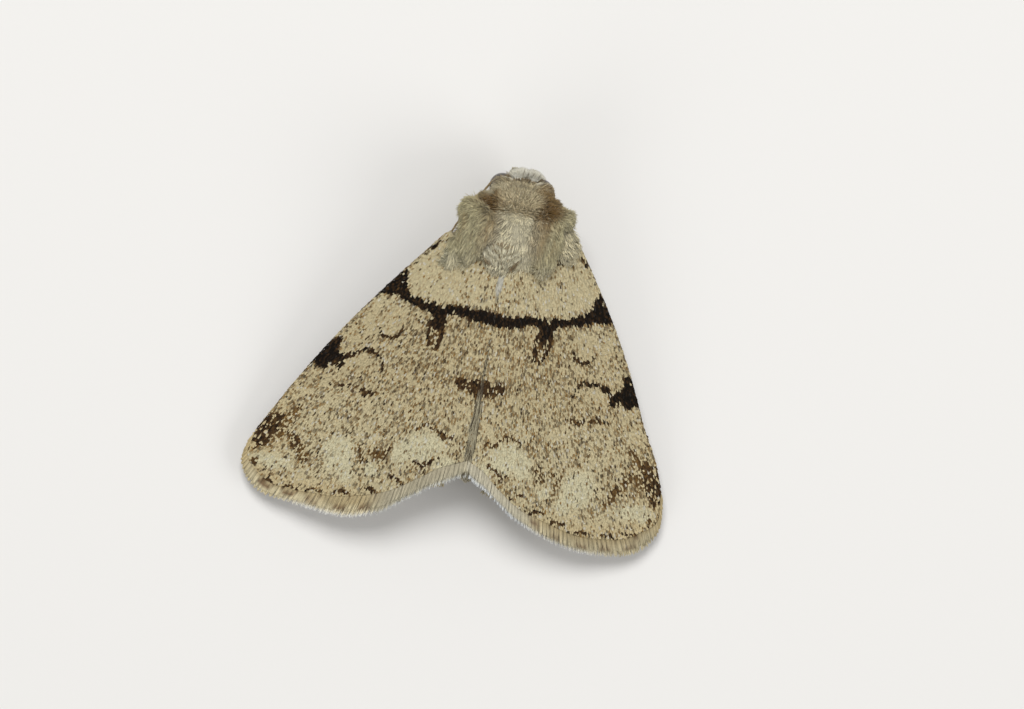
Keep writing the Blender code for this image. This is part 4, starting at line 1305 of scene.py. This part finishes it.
def legCoat(word, side):
    rng = np.random.default_rng(legLook["seed"] + side)
    samples = legLook["samples"]
    layers = []
    for number, pair in enumerate(legPaths):
        path, radius = legLine(pair, side, samples)
        n = legLook["hairs"]
        f = rng.random(n) ** 0.9 * 0.98
        at = f * (samples - 1)
        k = np.minimum(at.astype(int), samples - 2)
        g = (at - k)[:, None]
        centre, ahead, sideways, upward = (line[k] * (1 - g) + line[k + 1] * g
                                           for line in (path, *pathFrames(path)))
        turn = rng.uniform(-np.pi, np.pi, n)
        out = unit(sideways * np.cos(turn)[:, None] + upward * np.sin(turn)[:, None])
        r = np.interp(f, np.linspace(0, 1, samples), radius)
        roots = centre + out * (r * 0.80)[:, None]
        length = np.interp(f, [0, 0.3, 0.6, 0.7, 1], [0.42, 0.36, 0.24, 0.15, 0.12])
        length = length * rng.uniform(0.8, 1.2, n)
        rise = np.interp(f, [0, 0.5, 0.7, 1], [0.45, 0.36, 0.22, 0.18])[:, None]
        along = unit(unit(ahead) + out * rise + rng.normal(0, 0.10, (n, 3)))
        keep = roots[:, 2] + along[:, 2] * length > 0.012          # nothing pokes into the floor
        roots, along, out, length, f, turn = (v[keep] for v in (roots, along, out, length, f, turn))
        n = len(roots)
        width = legLook["width"] * rng.uniform(0.8, 1.2, n) * np.interp(f, [0, 0.6, 1], [1.0, 0.9, 0.75])
        points, triangles, local, fr = strands(roots, along, out, length, width, width * 0.35, -out * 0.12,
                                               (0.8, 1.0), (0.0, 0.5))
        points[:, 2] = np.maximum(points[:, 2], 0.004)
        tone = 1 + rng.normal(0, 0.10, n)
        shades = shaded(legTint(f, rng) * tone[:, None], 0.62 + 0.45 * fr)
        uv = np.stack([0.02 + 0.32 * number + 0.30 * (turn + np.pi) / (2 * np.pi), 0.02 + 0.95 * f], -1)
        layers.append((points, triangles, shades, patchUv(uv, local)))
    item = joinedMesh("leg_scales_" + word, layers, furFinish, smooth=True)


def claw(end, line, across, hand):  # one small hooked cone
    size = legLook["claw"]
    noSelection()
    bpy.ops.mesh.primitive_cone_add(vertices=8, radius1=legLook["clawRadius"], radius2=legLook["clawTip"],
                                    depth=size, location=(0, 0, size / 2))
    item = bpy.context.object
    bpy.ops.object.transform_apply(location=True, rotation=True, scale=True)
    editWhole(item, bpy.ops.mesh.subdivide, number_cuts=3)
    co = meshPoints(item.data)
    f = co[:, 2] / size
    forward = unit(line * (1, 1, 0) + across * legLook["clawSplay"] * hand)
    rise = co[:, 1] + 0.05 * np.sin(f * 2.4) - 0.085 * f
    root = end + across * legLook["clawGap"] * hand
    hooked = root + forward * (co[:, 2:] * 0.9) + across * co[:, :1] + upright * rise[:, None]
    hooked[:, 2] = np.maximum(hooked[:, 2], 0.003)
    setPoints(item.data, hooked)
    return item


def claws(finish):  # a pair at the end of each foot
    made = []
    for side, _ in sides:
        for pair in legPaths:
            path, _ = legLine(pair, side, legLook["samples"])
            line = unit(path[-1] - path[-4])
            across = np.array([-line[1], line[0], 0.0])
            made += [claw(path[-1], line, across, hand) for hand in (1, -1)]
    item = joined(made, "claws")
    editWhole(item, bpy.ops.mesh.normals_make_consistent, inside=False)
    bpy.ops.object.shade_smooth()
    toFrame(item)
    item.data.materials.append(finish)
    place(item)


def hornMaterial():
    mat, nodes, links = newMaterial("dark horn")
    shader = nodes["Principled BSDF"]
    setInputs(shader, {"Roughness": 0.3})
    grain = addNode(nodes, "TexNoise", {"Scale": 20000})
    links.new(addNode(nodes, "TexCoord").outputs["Object"], grain.inputs["Vector"])
    low, high = (0, legLook["clawDark"]), (1, legLook["clawLight"])
    colour = addRamp(nodes, links, grain.outputs["Fac"], low, high)
    links.new(colour, shader.inputs["Base Color"])
    return mat


print("legs")
for side, word in sides:
    legCoat(word, side)
claws(hornMaterial())


def eyeMaterial():  # dark brown glossy lens with a fine honeycomb of facets and faint darker bands
    mat, nodes, links = newMaterial("faceted eye")
    shader = nodes["Principled BSDF"]
    where = addNode(nodes, "TexCoord").outputs["Object"]
    cells = addNode(nodes, "TexVoronoi", {"Scale": eyeLook["facet"]})
    links.new(where, cells.inputs["Vector"])
    bands = addNode(nodes, "TexNoise", {"Scale": 2600})
    links.new(where, bands.inputs["Vector"])
    colour = addRamp(nodes, links, bands.outputs["Fac"], (0.35, eyeLook["dark"]), (0.68, eyeLook["light"]))
    dark = addNode(nodes, "MapRange", {"From Max": 0.75, "To Min": 1.1, "To Max": 0.55})
    links.new(cells.outputs["Distance"], dark.inputs["Value"])
    scaledColour(nodes, links, colour, dark.outputs["Result"], shader)
    addBump(nodes, links, cells.outputs["Distance"], shader, eyeLook["dome"], 0.000008).invert = True
    setInputs(shader, {"Roughness": 0.22, "Coat Weight": 0.35, "Coat Roughness": 0.12})
    return mat


def eye(word, side, finish):  # a dome a little taller than wide, drawn in where it meets the head
    noSelection()
    at = swayed(np.array(eyeLook["place"]) * (side, 1, 1))
    bpy.ops.mesh.primitive_ico_sphere_add(subdivisions=5, radius=eyeLook["radius"], location=(0, 0, 0))
    item = bpy.context.object
    co = meshPoints(item.data)
    out = unit(np.array(eyeLook["outward"]) * (side, 1, 1))
    depth = co @ out
    co = co * (1 + 0.03 * smoothStep(-0.2, 0.5, depth / eyeLook["radius"]))[:, None]
    co = co - out * (smoothStep(-0.1, -0.6, depth) * 0.18)[:, None]
    co[:, 2] *= 1.04
    setPoints(item.data, co + at)
    bpy.ops.object.shade_smooth()
    item.name = item.data.name = "eye_lens_" + word
    toFrame(item)
    item.data.materials.append(finish)
    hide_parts("eye_" + word)
    place(item)


print("eyes")
eyeFinish = eyeMaterial()
for side, word in sides:
    eye(word, side, eyeFinish)


feelerLook = {  # the shaft is much finer than its solid, which is thick enough to be cut
    "path": [(0.44, -6.72, 3.62), (0.74, -6.92, 3.56), (1.10, -6.98, 3.42), (1.42, -6.84, 3.20),
             (1.62, -6.52, 3.00), (1.80, -6.10, 2.82), (2.06, -5.50, 2.60), (2.40, -4.80, 2.36),
             (2.70, -3.90, 2.16), (3.02, -2.60, 1.96), (3.50, -1.30, 1.76), (4.35, 0.25, 1.46),
             (5.20, 1.95, 1.14)],
    "base": 0.078, "tip": 0.030, "rings": 74, "corners": 8, "seed": 170,
    "ringWidths": (0.80, 1.0, 1.08), "ringShades": (0.2, 1, 1),     # each ring widens toward its far end
    "hairsPerPlace": 8, "cilia": 0.10, "scaleLength": 0.13, "scaleWidth": 0.045, "hairWidth": 0.012,
    "baseTint": paint(178, 170, 148), "shaftTint": paint(150, 128, 92), "speck": paint(120, 100, 70),
    "scaleBase": paint(184, 176, 154), "scaleTint": paint(170, 150, 112),
}


def feelerShaft(line, frames, radius, f):
    ahead, sideways, upward = frames
    count, corners = len(line), feelerLook["corners"]
    k = np.arange(corners)
    turn = k * 2 * np.pi / corners
    ring = (line[:, None] + radius[:, None, None] * (np.cos(turn)[None, :, None] * sideways[:, None]
                                                     + np.sin(turn)[None, :, None] * upward[:, None]))
    ends = [line[:1] - ahead[:1] * 0.02, line[-1:] + ahead[-1:] * 0.03]
    points = np.vstack([ring.reshape(-1, 3)] + ends)
    row = np.arange(count - 1)[:, None] * corners
    a, b = row + k[None], row + (k[None] + 1) % corners
    quads = np.stack([a, b, b + corners, a + corners], -1).reshape(-1, 4)
    last = (count - 1) * corners
    following = (k + 1) % corners
    caps = np.vstack([np.stack([following, k, np.full(corners, len(points) - 2)], 1),
                      np.stack([last + k, last + following, np.full(corners, len(points) - 1)], 1)])
    g = np.r_[np.repeat(f, corners), 0, 1]
    ringShade = np.array(feelerLook["ringShades"])[np.arange(count) % 3]
    shades = blend(feelerLook["baseTint"], feelerLook["shaftTint"], smoothStep(0.06, 0.16, g))
    shades = shades * (0.86 + 0.14 * np.r_[np.repeat(ringShade, corners), 1, 1])[:, None]
    uv = np.stack([np.r_[np.tile(k / corners, count), 0.5, 0.5] * 0.05 + 0.1, 0.02 + 0.96 * g], -1)
    return (points, caps, shades, uv), quads


def feelerHair(line, frames, radius, f, rng):  # short hairs below, scales on top and near the root
    ahead, sideways, upward = frames
    at = np.repeat(np.arange(6, len(line) - 2, 2), feelerLook["hairsPerPlace"])
    n = len(at)
    spin = rng.uniform(-np.pi, np.pi, n)
    out = unit(sideways[at] * np.cos(spin)[:, None] + upward[at] * np.sin(spin)[:, None])
    g = f[at]
    scaly = (g < 0.30) | (np.sin(spin) > 0.1)
    roots = line[at] + out * (radius[at] * 0.75)[:, None]
    along = ahead[at] * np.where(scaly, 1.0, 0.45)[:, None] + out * np.where(scaly, 0.22, 0.9)[:, None]
    length = np.where(scaly, feelerLook["scaleLength"], feelerLook["cilia"] * (1 - 0.4 * g))
    length = length * rng.uniform(0.8, 1.2, n)
    width = np.where(scaly, feelerLook["scaleWidth"], feelerLook["hairWidth"])
    points, triangles, local, fr = strands(roots, unit(along), out, length, width, width * 0.35,
                                           -out * 0.05, (0.8, 1.0), (0.0, 0.5))
    tint = blend(feelerLook["scaleBase"], feelerLook["scaleTint"], smoothStep(0.06, 0.16, g))
    tint = np.where((rng.random(n) < 0.12)[:, None] & scaly[:, None], feelerLook["speck"], tint)
    uv = np.stack([0.3 + 0.3 * (spin + np.pi) / (2 * np.pi), 0.02 + 0.96 * g], -1)
    return points, triangles, shaded(tint, 0.75 + 0.3 * fr), patchUv(uv, local)


def feeler(word, side):
    rng = np.random.default_rng(feelerLook["seed"] + side)
    line = swayed(smoothLine(feelerLook["path"], feelerLook["rings"] * 3 + 1) * (side, 1, 1))
    frames = pathFrames(line)
    f = np.linspace(0, 1, len(line))
    radius = feelerLook["base"] * 0.62 * (1 - f) + feelerLook["tip"] * f
    firstJoint = feelerLook["base"] * (1.15 - 100 * (f - 0.02) ** 2)     # swollen
    radius = np.where(f < 0.045, firstJoint, radius)
    radius = radius * np.array(feelerLook["ringWidths"])[np.arange(len(line)) % 3]
    shaft, quads = feelerShaft(line, frames, radius, f)
    layers = [shaft, feelerHair(line, frames, radius, f, rng)]
    item = joinedMesh("feeler_" + word, layers, furFinish, quads=quads, smooth=True)
    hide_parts("antenna_" + word)


print("feelers")
for side, word in sides:
    feeler(word, side)

hindwing = {
    "baseY": -1.2, "outline": [(0.75, 9.1), (2.2, 9.55), (4.2, 10.2), (6.4, 10.35), (8.2, 9.6), (8.9, 7.9)],
    "under": 0.90, "wall": 0.36, "membrane": 0.05, "folds": 14, "across": 60, "along": 70, "edge": 0.945,
    "scales": 3000, "length": 0.30, "width": 0.15, "thick": 0.010, "arch": 0.10, "seed": 190,
    "fringeHairs": 1500, "fringe": 0.62, "fringeWidth": 0.060, "fringeThick": 0.012,
    "ground": paint(150, 134, 98), "dark": paint(108, 92, 62), "pale": paint(190, 180, 150),
}
hindLine = smoothLine(hindwing["outline"], 200)


def hindPoint(s, t, side, lift=0.0):  # s under 0 is the part folded down beside the abdomen
    s, t = np.asarray(s, float), np.asarray(t, float)
    flat = np.clip(s, 0, 1)
    ox, oy = lineAt(hindLine, s)
    bx, by = 2.30 + 0.9 * flat, hindwing["baseY"] - 1.0 * flat
    x, y = heldWing(bx + (ox - bx) * t, by + (oy - by) * t, side)
    x = np.maximum(x, abdomenWidth(y) + side * abdomenLean(y) + hindwing["wall"])
    z = roof(x, y) - hindwing["under"]
    down = np.clip(-s, 0, 1)
    foot = z - np.minimum(1.9, np.maximum(z - 1.70, 0.75)) * smoothStep(0.0, 0.45, t)
    curl = np.sin(down * np.pi / 2)
    z = z + (foot - z) * down + lift * np.cos(down * 1.4)
    return np.stack([side * (x + 0.10 * curl - lift * np.sin(down * 1.4)), y, z], -1)


def hindAcross(s, t, side, behind, ahead):  # the way across the wing
    return hindPoint(np.clip(s + ahead, -1, 1), t, side) - hindPoint(np.clip(s - behind, -1, 1), t, side)


def hindTint(s, t):
    mottle = 0.3 * (cloud(np.stack([s * 6, t * 9], -1), 0.8, 5) - 0.5)
    c = blend(hindwing["ground"], hindwing["dark"], 0.55 * smoothStep(0.60, 0.85, t) + mottle)
    return blend(c, hindwing["pale"], smoothStep(0.95, 0.99, t))


def hindMembrane(name, side):
    across = hindwing["folds"] + hindwing["across"]
    item, u, t = addGrid(name, across, hindwing["along"])
    cut = hindwing["folds"] / across
    s = np.where(u < cut, u / cut - 1, (u - cut) / (1 - cut))
    membraneShell(item, hindPoint(s, t * hindwing["edge"], side), hindTint(s, t), side,
                  thickness=hindwing["membrane"])
    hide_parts("hindwing_left" if side > 0 else "hindwing_right")
    place(item)


def hindScales(side, rng):
    n = hindwing["scales"]
    s = rng.uniform(-1, 1, n)
    t = 0.01 + 0.92 * rng.random(n) ** 0.8
    roots = hindPoint(s, t, side)
    along = unit(hindPoint(s, t + 0.01, side) - roots)
    up = unit(np.cross(hindAcross(s, t, side, 0.02, 0.02), along)) * side
    length = hindwing["length"] * rng.uniform(0.85, 1.15, n)
    width = hindwing["width"] * rng.uniform(0.85, 1.15, n)
    lift = 0.006 + 0.006 * rng.random(n)
    tilt = 0.12 + rng.normal(0, 0.02, n)
    points, triangles, local = laidScales(roots, along, up, length, width, lift, tilt,
                                          hindwing["thick"], hindwing["arch"])
    colour = hindTint(s, t) * (1 + rng.normal(0, 0.10, n))[:, None]
    # each scale is darker toward its root, as painted shade
    shades = shaded(colour, 0.82 + 0.18 * smoothStep(0.1, 0.7, local[:, 1]))
    return points, triangles, shades, patchUv(np.stack([0.02 + 0.48 * (s + 1), 0.02 + 0.94 * t], -1), local)


def hindFringe(side, rng):
    n = hindwing["fringeHairs"]
    s = np.sort(rng.uniform(-0.15, 1, n))
    base = hindPoint(s, np.full(n, 0.935), side, 0.01)
    along = unit(hindPoint(s, np.full(n, 0.95), side) - base)
    up = unit(np.cross(hindAcross(s, np.full(n, 0.93), side, 0.0, 0.01) + 1e-9, along)) * side
    length = hindwing["fringe"] * rng.uniform(0.8, 1.1, n)
    points, triangles, local, fr = strands(
        base, along, up, length, np.full(n, hindwing["fringeWidth"]), np.full(n, hindwing["fringeThick"]),
        -up * 0.08, (0.7, 1.0, 0.8), (0.0, 0.45, 0.80))
    tint = blend(hindwing["dark"], hindwing["pale"], smoothStep(0.1, 0.5, np.tile(fr, n)))
    return points, triangles, tint, patchUv(np.stack([0.02 + 0.48 * (s + 1), np.full(n, 0.98)], -1), local)


def hindCoat(name, side):
    rng = np.random.default_rng(hindwing["seed"] + side)
    item = joinedMesh(name, [hindScales(side, rng), hindFringe(side, rng)], scaleFinish)


print("hindwings")
for side, word in sides:
    hindMembrane("hindwing_membrane_" + word, side)
    hindCoat("hindwing_scales_" + word, side)

seam = {
    "hairs": 1500, "width": 0.045, "thick": 0.02, "from": -2.6, "to": 7.2, "seed": 211,
    "pale": paint(160, 152, 126), "dark": paint(78, 68, 48), "white": paint(186, 183, 170),
}


def seamHair():  # long hairs along the seam between the wings, thick near the tail and white near the head, where the white is partly the hairs' own pale colour and partly a painted glint
    rng = np.random.default_rng(seam["seed"])
    y = rng.uniform(seam["from"], seam["to"], seam["hairs"])
    thick = smoothStep(3.0, 4.6, y)
    chance = 0.03 + 0.09 * smoothStep(0.9, 2.0, y) + 0.60 * np.maximum(thick, smoothStep(-1.5, -1.9, y))
    keep = rng.random(len(y)) < chance
    y, thick = y[keep], thick[keep]
    n = len(y)
    side = np.where(rng.random(n) < 0.5, 1.0, -1.0)
    x = np.abs(rng.normal(0, 0.030 + 0.045 * thick + 0.015 * (y < -1.3), n))
    roots = np.stack([side * x, y, roof(x, y) - 0.10], -1)
    dx = side * (0.02 + 0.03 * rng.random(n)) + rng.normal(0, 0.05, n)
    along = unit(np.stack([dx, np.ones(n), -0.02 * y + 0.05], -1))
    up = np.tile(upright, (n, 1))
    length = rng.uniform(0.5, 0.8, n) + 0.5 * thick
    colour = blend(seam["pale"], seam["dark"], (rng.random(n) < 0.5) * 1.0)
    # near the head: partly pale hair, partly a painted glint
    colour = blend(colour, seam["white"], smoothStep(-1.3, -1.7, y))
    chance, tone, _ = forewingTone(x, y + 0.4, 1)           # it takes the dark of the lines that it crosses
    dark = 0.90 * smoothStep(0.6, 0.9, chance) * (rng.random(n) < 0.85)
    colour = blend(colour, darkTint(tone), dark)
    colour = colour * (1 + rng.normal(0, 0.12, n))[:, None]
    width = seam["width"] * rng.uniform(0.7, 1.2, n)
    thickness = np.full(n, seam["thick"])
    points, triangles, local, fr = strands(roots, along, up, length, width, thickness, -up * 0.05,
                                           (0.75, 1.0, 0.7), (0.0, 0.4, 0.75))
    uv = patchUv(np.stack([0.5 + side * x, 0.02 + (y - seam["from"]) / 11.0], -1), local)
    layer = (points, triangles, shaded(colour, 0.72 + 0.30 * fr), uv)
    item = joinedMesh("seam_hair", [layer], furFinish, smooth=True)


shield = {
    "count": 3300, "centre": (0.32, -3.12), "halfWidth": 1.02, "halfLength": 0.92, "height": 5.16,
    "dome": 0.26, "drop": 0.42,
    "pale": paint(214, 208, 182), "grey": paint(138, 128, 98), "speck": paint(116, 98, 66),
    "width": 0.046, "rise": 0.20, "droop": 0.28, "wave": 0.40, "waveSize": 0.4, "spread": 0.10,
    "perLock": 12, "pull": 0.35, "mottle": 0.14, "lockSpread": 0.35, "rootShade": 0.50, "seeds": (223, 224),
}


def shieldTuft():  # pale hairs that run in from both sides to a point over the seam, edged with brown
    rng = np.random.default_rng(shield["seeds"][0])
    n = shield["count"]
    cx, cy = shield["centre"]
    end = cy + shield["halfLength"]
    a = rng.uniform(0, 2 * np.pi, n)
    r = np.sqrt(rng.random(n)) ** np.where(np.sin(a) > 0, 0.8, 1.0)
    x, y = cx + shield["halfWidth"] * r * np.cos(a), cy + shield["halfLength"] * r * np.sin(a)
    taper = smoothStep(cy - 0.1, end, y)           # it narrows toward the tail
    x = cx - 0.14 * taper + (x - cx) * (1 - 0.50 * taper)
    dome = np.sqrt(np.maximum(1 - 0.92 * r ** 2, 0))
    z = shield["height"] + shield["dome"] * dome - shield["drop"] * smoothStep(cy + 0.05, end, y)
    q = np.stack([x, y, z], -1)
    up = unit(np.stack([0.5 * (x - cx), 0.35 * (y - cy), np.ones(n)], -1))
    lean = (0.35 + 0.45 * rng.random(n)) * smoothStep(0.0, 0.5, np.abs(x - cx))
    lean = lean * (0.5 + 0.8 * smoothStep(0.4, 1.0, r))
    flow = np.stack([-np.sign(x - cx) * lean, 0.75 + 0 * x, 0.10 + 0 * x], -1)
    rim = smoothStep(0.68, 0.82, r) * smoothStep(cy - 0.2, cy + 0.3, y)
    arcs = 0.5 + 0.5 * np.cos((y - cy + 0.35 * (x - cx) ** 2) / 0.34 * 2 * np.pi)
    colour = blend(shield["pale"], shield["grey"], 0.55 * arcs + 0.3 * rng.random(n))
    colour = blend(colour, furTints["ochre"], 0.55 * smoothStep(cy - 0.55, cy - 0.8, y))
    colour = blend(colour, furTints["umber"], 0.85 * rim)
    colour = np.where((rng.random(n) < 0.10)[:, None], shield["speck"], colour)
    growFur("shield_tuft", shield, swayed(q), q, up, flow, 0.44 - 0.10 * r + 0.12 * taper, colour)


print("seam hair and tuft")
seamHair()
shieldTuft()

studio = {  # each light: place in metres, size, watts
    "floorSize": 4, "floorColour": (0.74, 0.73, 0.71, 1), "floorRoughness": 0.9,
    "skyColour": (1.0, 0.99, 0.97, 1), "skyStrength": 0.32, "lightAim": (0, 0, 0.003),
    "lights": {"key": ((0.10, -0.26, 0.42), 0.22, 1.95), "fill": ((-0.34, 0.10, 0.26), 0.30, 0.62),
               "back": ((0.20, 0.36, 0.24), 0.30, 0.40)},
}
camera = {  # looks down on the back from the head side, turned so that the head points up and to the right
    "toward": (0.12, -0.12, 1.0), "roll": 9.84, "distance": 250.0, "lens": 175.78, "sensor": 36,
    "aim": (0.0, 0.0, 5.1), "aimRight": -0.0036, "aimDown": -0.0071,
}


def addFloor():
    noSelection()
    bpy.ops.mesh.primitive_plane_add(size=studio["floorSize"], location=(0, 0, 0))
    floor = bpy.context.object
    floor.name = "floor"
    mat, nodes, _ = newMaterial("pale floor")
    setInputs(nodes["Principled BSDF"], {"Base Color": studio["floorColour"],
                                         "Roughness": studio["floorRoughness"]})
    floor.data.materials.append(mat)


def addLight(name, spotAt, size, watts):
    noSelection()
    bpy.ops.object.light_add(type="AREA", location=spotAt)
    lamp = bpy.context.object
    lamp.name = name + " light"
    lamp.data.shape = "DISK"
    lamp.data.size = size
    lamp.data.energy = watts
    line = Vector(studio["lightAim"]) - Vector(spotAt)
    lamp.rotation_euler = line.to_track_quat("-Z", "Y").to_euler()


def addWorld():
    world = bpy.data.worlds.new("studio")
    bpy.context.scene.world = world
    world.use_nodes = True
    setInputs(world.node_tree.nodes["Background"], {"Color": studio["skyColour"],
                                                    "Strength": studio["skyStrength"]})
    bpy.context.scene.view_settings.view_transform = "Standard"


def addCamera():
    forward = -Vector(camera["toward"]).normalized()
    down = Vector((0, 1, 0))
    down = (down - down.dot(forward) * forward).normalized()
    right = -down.cross(forward) if down.cross(forward).x > 0 else down.cross(forward)
    c, s = math.cos(math.radians(camera["roll"])), math.sin(math.radians(camera["roll"]))
    right, down = c * right - s * down, s * right + c * down
    line = forward + camera["aimRight"] * right + camera["aimDown"] * down
    at = Vector(camera["aim"]) - camera["distance"] * line + Vector(boxShift.tolist())
    noSelection()
    bpy.ops.object.camera_add(location=at * mm)
    cam = bpy.context.object
    cam.data.lens = camera["lens"]
    cam.data.sensor_width = camera["sensor"]
    cam.data.clip_start = 0.01
    cam.data.clip_end = 10
    cam.rotation_mode = "QUATERNION"
    axes = (right, -down, -forward)
    cam.rotation_quaternion = Matrix([[axis[k] for axis in axes] for k in range(3)]).to_quaternion()
    bpy.context.scene.camera = cam


print("camera, light and floor")
addFloor()
for name, light in studio["lights"].items():
    addLight(name, *light)
addWorld()
addCamera()

noSelection()
print("finished")
